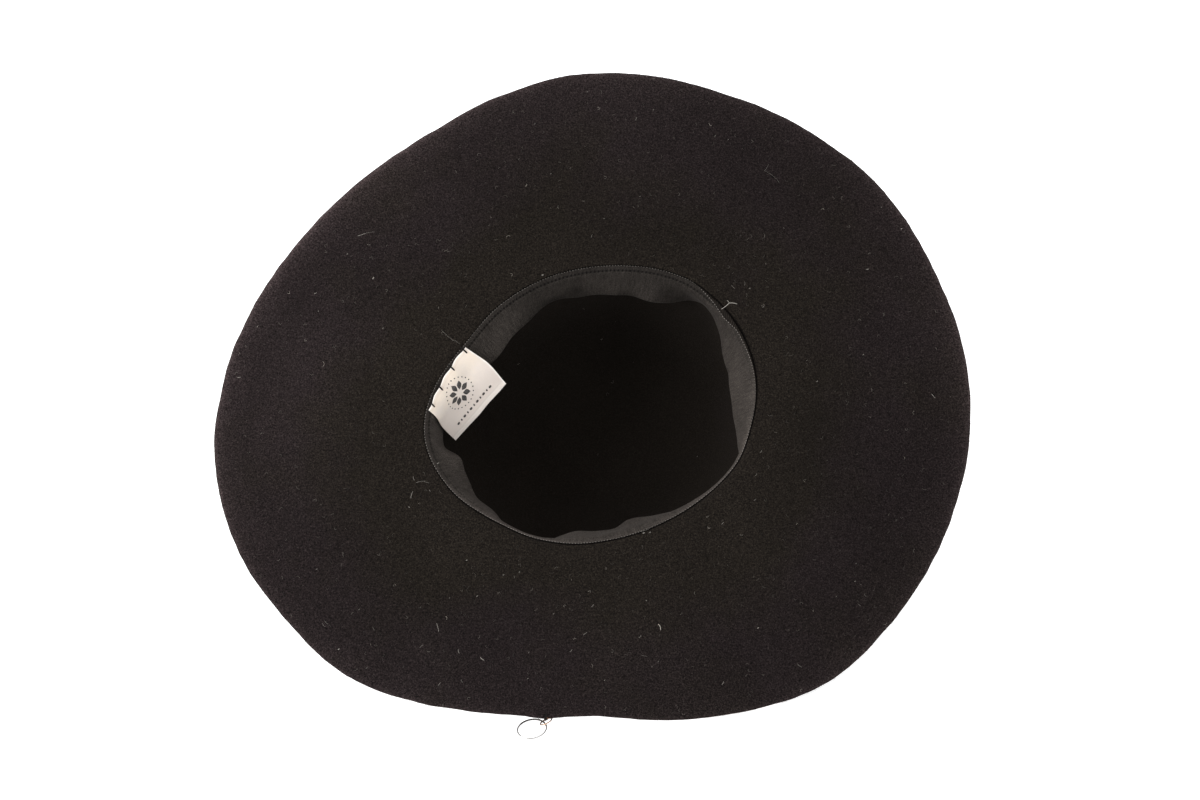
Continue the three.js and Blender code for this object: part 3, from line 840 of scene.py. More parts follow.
# How much of its sewn edge is turned flat over the break, past the row of pale loops, where the
# ribbon has been pulled round the turn of the opening. The tones are painted shade and light: how
# much darker its sewn margin is painted than the rest, and how much darker or paler the whole of it
# is painted there, darker across the top and paler lower down. Stitched is how far the machine
# stitches show: elsewhere they have sunk into the ribs.
RIBBON_EDGE_AND_SHADE = np.array(
    [
        (0, 1.2, 0.65, 0.85, 0.1), (6, 1.5, 0.6, 0.84, 0.1), (9.5, 2.9, 0.5, 0.82, 0.2),
        (13, 3.8, 0.45, 0.8, 0.3), (18, 2.3, 0.4, 0.78, 0.5), (24, 0.9, 0.45, 0.66, 0.8),
        (30, 0, 0.55, 0.55, 1), (38, 0, 0.6, 0.51, 1), (46, 0, 0.6, 0.57, 1), (54, 0, 0.55, 0.62, 1),
        (60, 0, 0.5, 0.73, 1), (68, 0, 0.5, 0.69, 1), (76, 0, 0.5, 0.66, 1), (84, 0, 0.5, 0.67, 1),
        (92, 0, 0.5, 0.7, 1), (103, 0, 0.5, 0.86, 1), (118, 0, 0.5, 0.98, 1), (150, 0, 0.5, 1.08, 0.7),
        (180, 0, 0.6, 1.1, 0.5), (200, 0, 0.8, 1.25, 0.3), (218, 0, 1, 1.35, 0), (232, 0, 1, 1.3, 0),
        (242, 0, 0.9, 1.05, 0.1), (270, 0, 0.9, 0.95, 0.1), (290, 0, 1, 1.25, 0), (305, 0, 1, 1.4, 0),
        (322, 0, 1, 1.35, 0), (336, 0.1, 0.95, 1.05, 0), (350, 0.5, 0.8, 0.88, 0),
    ],
    dtype=[
        ("heading", float), ("turned", float), ("edge_tone", float), ("tone", float), ("stitched", float),
    ],
)
# Soft shade in the hollows of its buckles: across is from the sewn edge, and size is in millimetres
BUCKLE_SHADE = np.array(
    [
        (37, 18, 4, 7, 0.35), (55, 27, 5, 4, 0.3), (77, 19, 4, 8, 0.5), (88, 27, 11, 7, 0.5),
        (104, 28, 8, 5, 0.25),
    ],
    dtype=[
        ("heading", float), ("across", float), ("degrees", float), ("size", float), ("darker", float),
    ],
)
lean_at = round_the_hat(BAND_LEAN, "lean")
turned_edge_at = round_the_hat(RIBBON_EDGE_AND_SHADE, "turned")
edge_shade_at = round_the_hat(RIBBON_EDGE_AND_SHADE, "edge_tone")
ribbon_light_and_shade_at = round_the_hat(RIBBON_EDGE_AND_SHADE, "tone")
stitched_at = round_the_hat(RIBBON_EDGE_AND_SHADE, "stitched")
ribbon_bend = BREAK_RADIUS + RIBBON_GAP + RIBBON_SOLID / 2


def ribbon_middle(heading, along):
    """Middle of the ribbon, along from its sewn edge round the break and then straight on"""
    lean = np.radians(lean_at(heading))
    start = np.radians(seam_turned_at(heading))
    on_break = np.minimum(along, ribbon_bend * (math.pi / 2 - lean - start))
    turned = start + on_break / ribbon_bend
    free = along - on_break
    radius = head_radius(heading) + BREAK_RADIUS - ribbon_bend * np.sin(turned)
    height = ribbon_bend * np.cos(turned) - BREAK_RADIUS
    return point_at(heading, radius - free * np.sin(lean), height - free * np.cos(lean))


# Columns are spaced evenly along the ribbon, not by heading, so that all its ribs are alike
fine_headings = np.linspace(0, 360, 3601)
sewn_line = ribbon_middle(fine_headings, STITCH_INSET)
steps = np.linalg.norm(np.diff(sewn_line, axis=0), axis=1)
distance = np.concatenate([[0], np.cumsum(steps)])
ribbon_length = distance[-1]
ribs = round(ribbon_length / RIB_PITCH)
ribbon_along = np.arange(ribs * COLUMNS_PER_RIB) * ribbon_length / (ribs * COLUMNS_PER_RIB)
ribbon_headings = np.interp(ribbon_along, distance, fine_headings)


def ribbon_sheet(rows):
    """The ribbon's middle with its small irregularities, a ring of points for each row"""
    rings = np.stack([ribbon_middle(ribbon_headings, row) for row in rows])
    rows = np.array(rows)[:, None]
    free = np.clip((rows - 8) / 20, 0, 1)
    sway = SWAY * free * waves(rings, SWAY_LENGTHS, SWAY_SEED)
    groove = STITCH_GROOVE * np.exp(-(((rows - STITCH_INSET) / GROOVE_HALF_WIDTH) ** 2))
    drawn_in = groove * (0.6 + 0.4 * np.cos(ribbon_along * 2 * math.pi / STITCH_PITCH))
    return rings + (sway - drawn_in)[..., None] * ring_normals(rings)


ribbon_rings = ribbon_sheet(RIBBON_ROWS)
ribbon_normals = ring_normals(ribbon_rings)
rib_height = RIB_DEPTH * np.cos(np.arange(len(ribbon_along)) * 2 * math.pi / COLUMNS_PER_RIB)
half = (RIBBON / 2 + rib_height)[:, None] * np.ones((len(RIBBON_ROWS), 1, 1))
half[[0, -1]] *= EDGE_THINNESS
ribbon_points, ribbon_faces = skin(
    np.concatenate([(ribbon_rings + ribbon_normals * half)[::-1], ribbon_rings - ribbon_normals * half])
)

ribbon_material, ribbon_tree, ribbon_shader = new_material(
    "black_grosgrain",
    {
        "Roughness": 0.65,
        "Specular IOR Level": 0.09,
        "Specular Tint": (1, 0.91, 0.84, 1),
        "Sheen Weight": 0.04,
        "Sheen Roughness": 0.4,
        "Sheen Tint": (0.7, 0.65, 0.61, 1),
    },
)
ribbon_uv = add_node(ribbon_tree, "ShaderNodeUVMap", uv_map="along_and_across").outputs[0]
ribbon_parts = add_node(ribbon_tree, "ShaderNodeSeparateXYZ", {0: ribbon_uv}).outputs
ribbon_place = own_place(ribbon_tree)
ribbon_threads = noise(ribbon_tree, ribbon_place, 1500, detail=4, roughness=0.75)
ribbon_fade = noise(ribbon_tree, ribbon_place, 45, detail=3)

# The UV map is in millimetres: each rib is a long grain across the ribbon, a little unlike the next
rib_grain = add_node(
    ribbon_tree, "ShaderNodeMapping", {"Vector": ribbon_uv, "Scale": (1 / RIB_PITCH, 0.09, 1)}
).outputs[0]
rib_tones = noise(ribbon_tree, rib_grain, 1.0, detail=3, roughness=0.7)
ribbon_weave = combine(
    ribbon_tree,
    "MULTIPLY",
    ramp(ribbon_tree, rib_tones, [(0.3, 0.4), (0.5, 0.7), (0.7, 1.0)]),
    ramp(ribbon_tree, ribbon_threads, [(0.36, 0.2), (0.64, 1.0)]),
)
# Painted shade and light kept on the ribbon's points, with a random fade
ribbon_shade = combine(
    ribbon_tree,
    "MULTIPLY",
    stored(ribbon_tree, "tone_with_painted_light"),
    ramp(ribbon_tree, ribbon_fade, [(0.3, 0.75), (0.7, 1.0)]),
)

# Each machine stitch pulls the ribbon into a small pucker, its shade painted dark
off_stitches = combine(
    ribbon_tree, "ABSOLUTE", combine(ribbon_tree, "SUBTRACT", ribbon_parts[1], STITCH_INSET), 0.0
)
stitch_beat = combine(
    ribbon_tree, "SINE", combine(ribbon_tree, "MULTIPLY", ribbon_parts[0], 2 * math.pi / STITCH_PITCH), 0.0
)
stitched = stored(ribbon_tree, "stitched")
pucker_shade_mask = combine(
    ribbon_tree,
    "MULTIPLY",
    combine(ribbon_tree, "MULTIPLY", stitched, ramp(ribbon_tree, off_stitches, [(0.5, 1.0), (0.9, 0.0)])),
    ramp(ribbon_tree, stitch_beat, [(0.0, 0.2), (0.5, 1.0)]),
)

# Where its edge is turned flat, slanting stitches of black thread cover it
turned_part = stored(ribbon_tree, "turned_part")
slant = combine(
    ribbon_tree, "ADD", ribbon_parts[0], combine(ribbon_tree, "MULTIPLY", ribbon_parts[1], HATCH_SLANT)
)
slant_beat = combine(ribbon_tree, "MULTIPLY", slant, 2 * math.pi / HATCH_PITCH)
slanting = combine(ribbon_tree, "SINE", slant_beat, 0.0)
turned_tone = ramp(ribbon_tree, slanting, [(0.0, (0.62, 0.56, 0.5)), (0.4, (0.05, 0.045, 0.04))])
turned_shade = mix(ribbon_tree, turned_part, (1, 1, 1, 1), turned_tone)
pucker_shade = combine(ribbon_tree, "MULTIPLY", pucker_shade_mask, PAINTED_PUCKER_SHADE)
puckered = combine(ribbon_tree, "SUBTRACT", 1.0, pucker_shade)
ribbon_tone = combine(
    ribbon_tree, "MULTIPLY", puckered, combine(ribbon_tree, "MULTIPLY", ribbon_weave, ribbon_shade)
)
ribbon_black = mix(ribbon_tree, 1, RIBBON_BLACK, ribbon_tone, "MULTIPLY")
ribbon_colour = mix(ribbon_tree, 1, ribbon_black, turned_shade, "MULTIPLY")
ribbon_tree.links.new(ribbon_colour, ribbon_shader.inputs["Base Color"])
ribbon_relief = combine(ribbon_tree, "ADD", rib_tones, ribbon_threads)
emboss(ribbon_tree, ribbon_shader, ribbon_relief, 0.6, RIBBON_RELIEF)
ribbon = add_object("sweatband_ribbon", on_table(ribbon_points), ribbon_faces, ribbon_material)

ribbon_across = np.concatenate([RIBBON_ROWS[::-1], RIBBON_ROWS])
columns = len(ribbon_along)
along_ends = np.append(ribbon_along, ribbon_length)
across_ends = np.append(ribbon_across, ribbon_across[0])
face_along = np.stack([along_ends[:-1], along_ends[:-1], along_ends[1:], along_ends[1:]], axis=-1)
face_across = np.stack([across_ends[:-1], across_ends[1:], across_ends[1:], across_ends[:-1]], axis=-1)
ribbon_spread = np.stack(
    [
        np.broadcast_to(face_along[None], (len(ribbon_across), columns, 4)),
        np.broadcast_to(face_across[:, None], (len(ribbon_across), columns, 4)),
    ],
    axis=-1,
)
ribbon_uvs = ribbon.data.uv_layers.new(name="along_and_across")
ribbon_uvs.data.foreach_set("uv", ribbon_spread.ravel())
turned_shares = np.clip((turned_edge_at(ribbon_headings) - ribbon_across[:, None]) * 2, 0, 1)
# The sewn margin is painted darker, as painted shade, and the whole ribbon darker or paler round the hat,
# as painted shade and light
edge_shares = np.interp(ribbon_across, [0, 3.0, 4.3, 12.5], [1, 0.9, 0.35, 0])[:, None]
ribbon_light_and_shade = 1 - (1 - edge_shade_at(ribbon_headings)) * edge_shares
ribbon_light_and_shade *= ribbon_light_and_shade_at(ribbon_headings)
for shade in BUCKLE_SHADE:
    round_to = (ribbon_headings - shade["heading"]) / shade["degrees"]
    down_to = (ribbon_across[:, None] - shade["across"]) / shade["size"]
    ribbon_light_and_shade *= 1 - shade["darker"] * np.exp(-(round_to**2) - down_to**2)
stitched_shares = np.broadcast_to(np.clip(stitched_at(ribbon_headings), 0, 1), ribbon_light_and_shade.shape)
for name, values in [
    ("turned_part", turned_shares),
    ("tone_with_painted_light", ribbon_light_and_shade),
    ("stitched", stitched_shares),
]:
    store(ribbon, name, values)

# Grains of thread along a path: the machine stitches, and the ribbon's edge loops
grain_tree, grain_in = new_tree("grains_along_a_path", ["Pitch", "Length", "Thread"])
grain_path = add_node(grain_tree, "GeometryNodeMeshToCurve", {0: grain_in["Geometry"]}).outputs[0]
grain_spots = add_node(
    grain_tree,
    "GeometryNodeCurveToPoints",
    {"Curve": grain_path, "Length": grain_in["Pitch"]},
    mode="LENGTH",
)
grain_turn = add_node(
    grain_tree,
    "FunctionNodeAlignRotationToVector",
    {"Vector": grain_spots.outputs["Tangent"]},
    axis="X",
).outputs[0]
grain_loose = add_node(
    grain_tree, "FunctionNodeEulerToRotation", {0: random_vector(grain_tree, (-0.1,) * 3, (0.1,) * 3, 4)}
).outputs[0]
grain_laid = add_node(
    grain_tree,
    "FunctionNodeRotateRotation",
    {"Rotation": grain_turn, "Rotate By": grain_loose},
    rotation_space="LOCAL",
).outputs[0]
grain_size = add_node(
    grain_tree,
    "ShaderNodeCombineXYZ",
    {0: grain_in["Length"], 1: grain_in["Thread"], 2: grain_in["Thread"]},
).outputs[0]
grain_shape = add_node(
    grain_tree, "GeometryNodeMeshUVSphere", {"Segments": 8, "Rings": 6, "Radius": 0.5}
).outputs[0]
grains = add_node(
    grain_tree,
    "GeometryNodeInstanceOnPoints",
    {
        "Points": grain_spots.outputs["Points"],
        "Instance": grain_shape,
        "Rotation": grain_laid,
        "Scale": grain_size,
    },
).outputs[0]
finish_tree(grain_tree, grains, grain_in["Material"])


def thread_material(name, darkest, palest):
    """Spun thread, with finer and paler plies on its surface"""
    material, tree, shader = new_material(name, {"Roughness": 0.7, "Specular IOR Level": 0.12})
    place = own_place(tree)
    plies = noise(tree, place, 3500, detail=2)
    tree.links.new(ramp(tree, plies, [(0.35, darkest), (0.65, palest)]), shader.inputs["Base Color"])
    emboss(tree, shader, plies, 0.6, 0.1)
    return material


def grains_along(name, points, pitch, length, thread, material):
    """Grains of thread along a closed path, as one mesh"""
    count = len(points)
    path = bpy.data.meshes.new(name)
    path.from_pydata(on_table(points).tolist(), [(i, (i + 1) % count) for i in range(count)], [])
    made = bpy.data.objects.new(name, path)
    bpy.context.collection.objects.link(made)
    sizes = {"Pitch": pitch * MM, "Length": length * MM, "Thread": thread * MM}
    run_tree(made, grain_tree, {**sizes, "Material": material})
    return made


black_thread = thread_material("black_thread", (0.004, 0.0034, 0.0032), (0.013, 0.011, 0.01))
grey_thread = thread_material("grey_weft", (0.09, 0.082, 0.074), (0.32, 0.295, 0.27))
stitch_row = ribbon_sheet([STITCH_INSET - 0.2, STITCH_INSET, STITCH_INSET + 0.2])
stitch_sink = STITCH_SINK * (1 - np.clip(stitched_at(ribbon_headings), 0, 1))
stitch_lift = RIBBON / 2 + LIFT_OFF_RIBBON - stitch_sink
stitch_path = stitch_row[1] + ring_normals(stitch_row)[1] * stitch_lift[:, None]
stitches = grains_along(
    "machine_stitches", stitch_path, STITCH_PITCH, STITCH_LENGTH, STITCH_THREAD, black_thread
)
loop_inset = LOOP_INSET + np.maximum(turned_edge_at(ribbon_headings), 0)
edge_rows = np.stack([ribbon_middle(ribbon_headings, loop_inset + step) for step in (-0.2, 0, 0.2)])
loop_lift = (RIBBON / 2 + LIFT_OFF_RIBBON) * np.clip(loop_inset - LOOP_INSET, 0, 1)
loop_path = edge_rows[1] + ring_normals(edge_rows)[1] * loop_lift[:, None]
edge_loops = grains_along(
    "ribbon_edge_loops", loop_path, LOOP_PITCH, LOOP_LENGTH, LOOP_THREAD, grey_thread
)
for piece in (ribbon, stitches, edge_loops):
    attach(piece, "root")
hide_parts("sweatband")


# Label
# A slip of cream woven tape, sewn by hand over the ribbon's outer edge with four black stitches.
# Its free end is turned under and stands off into the crown. It carries a plain printed rosette
# and a row of dashes.
LABEL_CLOTH = 0.5
LABEL_SEAM_BOW = 2
LABEL_COLUMNS = 112
LABEL_ROWS = 96
LABEL_SIZE = (48, 36)
HEM = 0.09
HEM_THICKENING = 0.3
SELVEDGE = 0.012
LABEL_WEAVE = 0.34
LABEL_RELIEF = 0.12
LABEL_SAG = 0.35
LABEL_SAG_LENGTHS = (16, 50)
LABEL_SAG_SEED = 21
HEM_GROOVE = 0.16
SELVEDGE_THICKENING = 0.25
SEAM_PUCKER = 0.4
SEAM_PUCKERS = 3.45
HAND_STITCHES = (0.045, 0.33, 0.64, 0.905)

# Each side from its sewn corner over the break to its free corner: inset is the distance in from
# the ribbon's sewn edge, and height is above the plane of the break
LABEL_SIDE = [("heading", float), ("inset", float), ("height", float)]
LABEL_FAR_SIDE = np.array(
    [(134.0, 1.7, 1.7), (134.3, 7.6, -1.2), (134.8, 15.9, -6), (140.4, 34.4, -18)], dtype=LABEL_SIDE
)
LABEL_NEAR_SIDE = np.array(
    [(160.7, 1.8, 1.7), (162.0, 5.3, -2.4), (164.6, 10.0, -16.5), (168.4, 17.5, -30)], dtype=LABEL_SIDE
)


def smooth_line(corners, share):
    """A smooth line through a few points, with share as the part of its length so far"""
    chords = np.linalg.norm(np.diff(corners, axis=0), axis=1)
    at = np.concatenate([[0], np.cumsum(chords)]) / chords.sum()
    slope = np.gradient(corners, at, axis=0)
    share = np.clip(share, 0, 1)
    row = np.clip(np.searchsorted(at, share, side="right") - 1, 0, len(at) - 2)
    span = (at[row + 1] - at[row])[..., None]
    u = (share - at[row])[..., None] / span
    return smooth_step(corners[row], corners[row + 1], slope[row], slope[row + 1], span, u)


def label_side(side):
    sewn_edge = ribbon_middle(side["heading"], 0)
    radius = np.hypot(sewn_edge[:, 0], sewn_edge[:, 1])
    return point_at(side["heading"], radius - side["inset"], side["height"])


def label_points(across, down):
    """Points of the label's middle, from the sewn edge at 0 down to the free edge at 1"""
    across, down = np.broadcast_arrays(np.asarray(across, float), np.asarray(down, float))
    start = smooth_line(label_side(LABEL_FAR_SIDE), down)
    end = smooth_line(label_side(LABEL_NEAR_SIDE), down)
    point = start + (end - start) * across[..., None]
    outward = point * (1, 1, 0)
    outward /= np.linalg.norm(outward, axis=-1, keepdims=True)
    bow = LABEL_SEAM_BOW * 4 * across * (1 - across) * (1 - down) ** 2
    beat = np.cos((across - HAND_STITCHES[0]) * 2 * math.pi * SEAM_PUCKERS)
    drawn = SEAM_PUCKER * (1 - down) ** 8 * beat
    return point + (bow - drawn)[..., None] * outward


def sheet_normals(sheet):
    """Unit normals of an open sheet of points, a row for each step down and a column across"""
    down, across = np.gradient(sheet, axis=(0, 1))
    normals = np.cross(across, down)
    return normals / np.linalg.norm(normals, axis=2, keepdims=True)


def slab(sheet, thickness):
    """Points and faces of a closed slab of cloth about an open sheet of points"""
    half = sheet_normals(sheet) * (np.broadcast_to(thickness, sheet.shape[:2]) / 2)[..., None]
    rows, columns = sheet.shape[:2]
    under = rows * columns
    index = np.arange(under).reshape(rows, columns)
    corners = [index[:-1, :-1], index[:-1, 1:], index[1:, 1:], index[1:, :-1]]
    quads = np.stack(corners, axis=-1).reshape(-1, 4)
    border = np.concatenate([index[0, :-1], index[:-1, -1], index[-1, :0:-1], index[:0:-1, 0]])
    following = np.roll(border, -1)
    rim = np.stack([border, border + under, following + under, following], axis=-1)
    faces = np.concatenate([quads, quads[:, ::-1] + under, rim]).tolist()
    return np.concatenate([sheet + half, sheet - half]).reshape(-1, 3), faces


def label_sag(points, down):
    """How far the cloth's soft bends stand off, less so by the seam"""
    return LABEL_SAG * np.clip(down * 3, 0, 1) * waves(points, LABEL_SAG_LENGTHS, LABEL_SAG_SEED)


def label_sheet(across, down):
    """The label's middle with its soft bends, for a row of shares across and a column down"""
    sheet = label_points(across[None, :], down[:, None])
    return sheet + label_sag(sheet, down[:, None])[..., None] * sheet_normals(sheet)


label_across = np.linspace(0, 1, LABEL_COLUMNS)
label_down = np.linspace(0, 1, LABEL_ROWS)
label_middle = label_sheet(label_across, label_down)
hem_side = 1 / (1 + np.exp(-(label_down - (1 - HEM)) / 0.006))
hem_line = np.exp(-(((label_down - (1 - HEM)) / 0.012) ** 2))
label_thickness = LABEL_CLOTH + HEM_THICKENING * hem_side - HEM_GROOVE * hem_line
selvedge_side = np.exp(-((label_across / SELVEDGE) ** 4))
label_thickness = label_thickness[:, None] + SELVEDGE_THICKENING * selvedge_side[None, :]
label_corners, label_faces = slab(label_middle, label_thickness)

LABEL_CREAM = (0.82, 0.715, 0.6)
LABEL_GREY = (0.72, 0.645, 0.58)
LABEL_PINK = (0.69, 0.615, 0.56)
LABEL_WHITE = (0.86, 0.82, 0.77)
label_material, label_tree, label_shader = new_material(
    "cream_woven_tape",
    {
        "Roughness": 0.7,
        "Specular IOR Level": 0.3,
        "Sheen Weight": 0.1,
        "Subsurface Weight": 0.05,
        "Subsurface Radius": (0.004, 0.003, 0.002),
    },
)
label_uv = add_node(label_tree, "ShaderNodeUVMap", uv_map="across_and_down").outputs[0]
label_parts = add_node(label_tree, "ShaderNodeSeparateXYZ", {0: label_uv}).outputs
label_place = own_place(label_tree)
mottle = noise(label_tree, label_place, 95, detail=4, roughness=0.6)
from_seam_side = combine(
    label_tree, "ADD", label_parts[1], combine(label_tree, "MULTIPLY", mottle, 0.9)
)
label_cloth = ramp(
    label_tree, from_seam_side, [(0.4, LABEL_CREAM), (0.8, LABEL_GREY), (1.3, LABEL_PINK)]
)
at_selvedge = ramp(label_tree, label_parts[0], [(SELVEDGE, 0.8), (2.2 * SELVEDGE, 0.0)])
at_seam = ramp(label_tree, label_parts[1], [(0.0, 0.9), (0.03, 0.0)])
at_hem = ramp(label_tree, label_parts[1], [(1 - 1.1 * HEM, 0.0), (1 - 0.8 * HEM, 0.2), (1.0, 0.35)])
at_edges = combine(label_tree, "MAXIMUM", at_hem, combine(label_tree, "MAXIMUM", at_selvedge, at_seam))
label_edged = mix(label_tree, at_edges, label_cloth, (*LABEL_WHITE, 1))
fold_shade = ramp(
    label_tree,
    label_parts[1],
    [(0.04, 1.0), (0.055, 0.93), (0.07, 1.0), (1 - 1.3 * HEM, 1.0), (1 - HEM, 0.93), (1 - 0.8 * HEM, 1.0)],
)
label_colour = mix(label_tree, 1, label_edged, fold_shade, "MULTIPLY")
label_tree.links.new(label_colour, label_shader.inputs["Base Color"])
warp = combine(label_tree, "MULTIPLY", label_parts[0], 2 * math.pi * LABEL_SIZE[0] / LABEL_WEAVE)
weft = combine(label_tree, "MULTIPLY", label_parts[1], 2 * math.pi * LABEL_SIZE[1] / LABEL_WEAVE)
weave = combine(
    label_tree,
    "MULTIPLY",
    combine(label_tree, "SINE", warp, 0.0),
    combine(label_tree, "SINE", weft, 0.0),
)
emboss(label_tree, label_shader, weave, 0.35, LABEL_RELIEF)

label = add_object("inner_label_tape", on_table(label_corners), label_faces, label_material)
label_uvs = label.data.uv_layers.new(name="across_and_down")
spread = np.stack(np.meshgrid(label_across, label_down), axis=-1).reshape(-1, 2)
loop_points = np.zeros(len(label.data.loops), int)
label.data.loops.foreach_get("vertex_index", loop_points)
label_uvs.data.foreach_set("uv", spread[loop_points % len(spread)].ravel())


def gathered(parts):
    """Several closed skins as the points and faces of one mesh"""
    points = []
    faces = []
    start = 0
    for part_points, part_faces in parts:
        faces += [[start + corner for corner in face] for face in part_faces]
        points.append(part_points)
        start += len(part_points)
    return np.vstack(points), faces


# The print: eight petals in a ring of dots, and dashes along the hem, as thin films of ink
INK = 0.05
ROSETTE_MIDDLE = (25.5, 14.5)
ROSETTE_PETALS = 8
PETAL_REACH = (2.3, 8.2)
PETAL_HALF_WIDTH = 1.75
ROSETTE_RING = 10.2
RING_DOTS = 24
DOT_RADIUS = 0.45
DASH_ROW = 28.9
DASHES = 11
DASH_SIZE = (2.3, 1.5)
DASH_PITCH = 3.0
SHORT_DASH = 0.5


def ink(outline, steps=2):
    """A film of ink on the label with that outline, given in millimetres across and down"""
    outline = np.array(outline)
    middle = outline.mean(axis=0)
    rings = np.stack([middle + (outline - middle) * share for share in np.linspace(1, 0.4, steps)])
    flat = np.vstack([rings.reshape(-1, 2), middle])
    share_points = flat / LABEL_SIZE
    nudge = 0.004
    here = label_points(share_points[:, 0], share_points[:, 1])
    over = label_points(share_points[:, 0] + nudge, share_points[:, 1]) - here
    down = label_points(share_points[:, 0], share_points[:, 1] + nudge) - here
    normal = np.cross(over, down)
    normal /= np.linalg.norm(normal, axis=1, keepdims=True)
    sag = label_sag(here, share_points[:, 1])
    upper = here + normal * (sag + LABEL_CLOTH / 2 + INK)[:, None]
    lower = here + normal * (sag + LABEL_CLOTH / 2 - 2 * INK)[:, None]
    count = len(outline)
    top_rings = upper[:-1].reshape(steps, count, 3)
    low_rings = lower[:-1].reshape(steps, count, 3)
    return skin(np.concatenate([top_rings[::-1], low_rings]), [upper[-1], lower[-1]])


def turned_outline(points, turn, middle):
    cos, sin = math.cos(turn), math.sin(turn)
    return [(middle[0] + x * cos - y * sin, middle[1] + x * sin + y * cos) for x, y in points]


petal_middle = sum(PETAL_REACH) / 2
petal_half = (PETAL_REACH[1] - PETAL_REACH[0]) / 2
petal = [
    (petal_middle + petal_half * math.cos(turn), PETAL_HALF_WIDTH * math.sin(turn) ** 3)
    for turn in np.linspace(0, 2 * math.pi, 16, endpoint=False)
]
print_parts = [
    ink(turned_outline(petal, 2 * math.pi * index / ROSETTE_PETALS, ROSETTE_MIDDLE))
    for index in range(ROSETTE_PETALS)
]
dot = [
    (ROSETTE_RING + DOT_RADIUS * math.cos(turn), DOT_RADIUS * math.sin(turn))
    for turn in np.linspace(0, 2 * math.pi, 8, endpoint=False)
]
print_parts += [
    ink(turned_outline(dot, 2 * math.pi * index / RING_DOTS, ROSETTE_MIDDLE))
    for index in range(RING_DOTS)
]
for index in range(DASHES):
    middle_x = LABEL_SIZE[0] / 2 + (index - (DASHES - 1) / 2) * DASH_PITCH
    wide, tall = (value / 2 for value in DASH_SIZE)
    if index % 2:
        wide *= SHORT_DASH
    upper_side = [(-wide, 0), (-wide / 2, -tall), (wide / 2, -tall)]
    lozenge = upper_side + [(-x, -y) for x, y in upper_side]
    print_parts.append(ink([(middle_x + x, DASH_ROW + y) for x, y in lozenge]))
ink_material, ink_tree, ink_shader = new_material("charcoal_print", {"Roughness": 0.85})
ink_place = own_place(ink_tree)
ink_tone = ramp(
    ink_tree,
    noise(ink_tree, ink_place, 1500, detail=2),
    [(0.35, (0.03, 0.028, 0.027)), (0.7, (0.09, 0.082, 0.076))],
)
ink_tree.links.new(ink_tone, ink_shader.inputs["Base Color"])
print_points, print_faces = gathered(print_parts)
label_print = add_object("label_print", on_table(print_points), print_faces, ink_material)

# Hand stitches over the sewn edge, from the ribbon beside it onto the label
HAND_STITCH_REACH = 2.7
HAND_THREAD = 0.5
HAND_STITCH_HEIGHT = 0.6
HAND_STITCH_DIP = 0.85
HAND_STITCH_SLANT = 0.35


def tube(path, radius, sides, closed=False):
    """Points and faces of round thread or wire along a path, its ends closed"""
    path = np.asarray(path, float)
    if closed:
        along = np.roll(path, -1, axis=0) - np.roll(path, 1, axis=0)
    else:
        along = np.gradient(path, axis=0)
    along /= np.linalg.norm(along, axis=1, keepdims=True)
    side = np.cross(along[0], (0.3, 0.5, 0.81))
    sides_along = []
    for direction in along:
        side = side - direction * (side @ direction)
        side /= np.linalg.norm(side)
        sides_along.append(side)
    sides_along = np.array(sides_along)
    others = np.cross(along, sides_along)
    turn = np.linspace(0, 2 * math.pi, sides, endpoint=False)[None, :, None]
    radii = np.broadcast_to(radius, len(path))[:, None, None]
    rings = path[:, None] + radii * (sides_along[:, None] * np.cos(turn) - others[:, None] * np.sin(turn))
    if closed:
        return skin(rings)
    reach = radii[[0, -1], 0] * 0.6
    return skin(rings, [path[0] - along[0] * reach[0], path[-1] + along[-1] * reach[1]])


stitch_parts = []
for across in HAND_STITCHES:
    inner = label_points(across, HAND_STITCH_REACH / LABEL_SIZE[1])
    edge = label_points(across, 0.0)
    way = edge - inner
    way /= np.linalg.norm(way)
    steps = np.linspace(-1, 1, 9)
    lift = HAND_STITCH_HEIGHT - HAND_STITCH_DIP * steps**6
    slanted = HAND_STITCH_SLANT * steps
    path = edge + way * (steps * HAND_STITCH_REACH)[:, None]
    path = path + np.array((0, 0, 1)) * lift[:, None] + np.cross(way, (0, 0, 1)) * slanted[:, None]
    stitch_parts.append(tube(path, HAND_THREAD, 8))
hand_points, hand_faces = gathered(stitch_parts)
hand_stitches = add_object("label_stitches", on_table(hand_points), hand_faces, black_thread)

for piece in (label, label_print, hand_stitches):
    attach(piece, "root")
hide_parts("inner_label")


# Jump ring
# A small ring bent from gold-tone wire, cut where its ends meet. It stands at the near edge of the
# brim, where a few turns of black thread hold it.
RING_HEADING = 240
JUMP_RING = {"radius": 3.9, "wire": 0.8, "right": 0.5, "away": -4.9, "height": 2.6}
JUMP_RING_AXIS = (-0.44, 0.33, 0.83)
JUMP_RING_CUT = 150
JUMP_RING_CUT_WIDTH = 0.12
WIRE_SIDES = 16
FELT_REFLECTION_FROM = -8.5
FELT_REFLECTION_TO = -4
FELT_REFLECTION_PATCHINESS = 3.0

brim_edge = on_table(brim_middle(np.array([RING_HEADING]), 1))[0] / MM


def ring_frame(sizes, axis):
    """Middle of a ring, and two directions across it and its axis"""
    middle = np.array((brim_edge[0] + sizes["right"], brim_edge[1] + sizes["away"], sizes["height"]))
    axis = np.array(axis) / np.linalg.norm(axis)
    first = np.cross((0, 1, 0), axis)
    first /= np.linalg.norm(first)
    return middle, first, np.cross(axis, first), axis


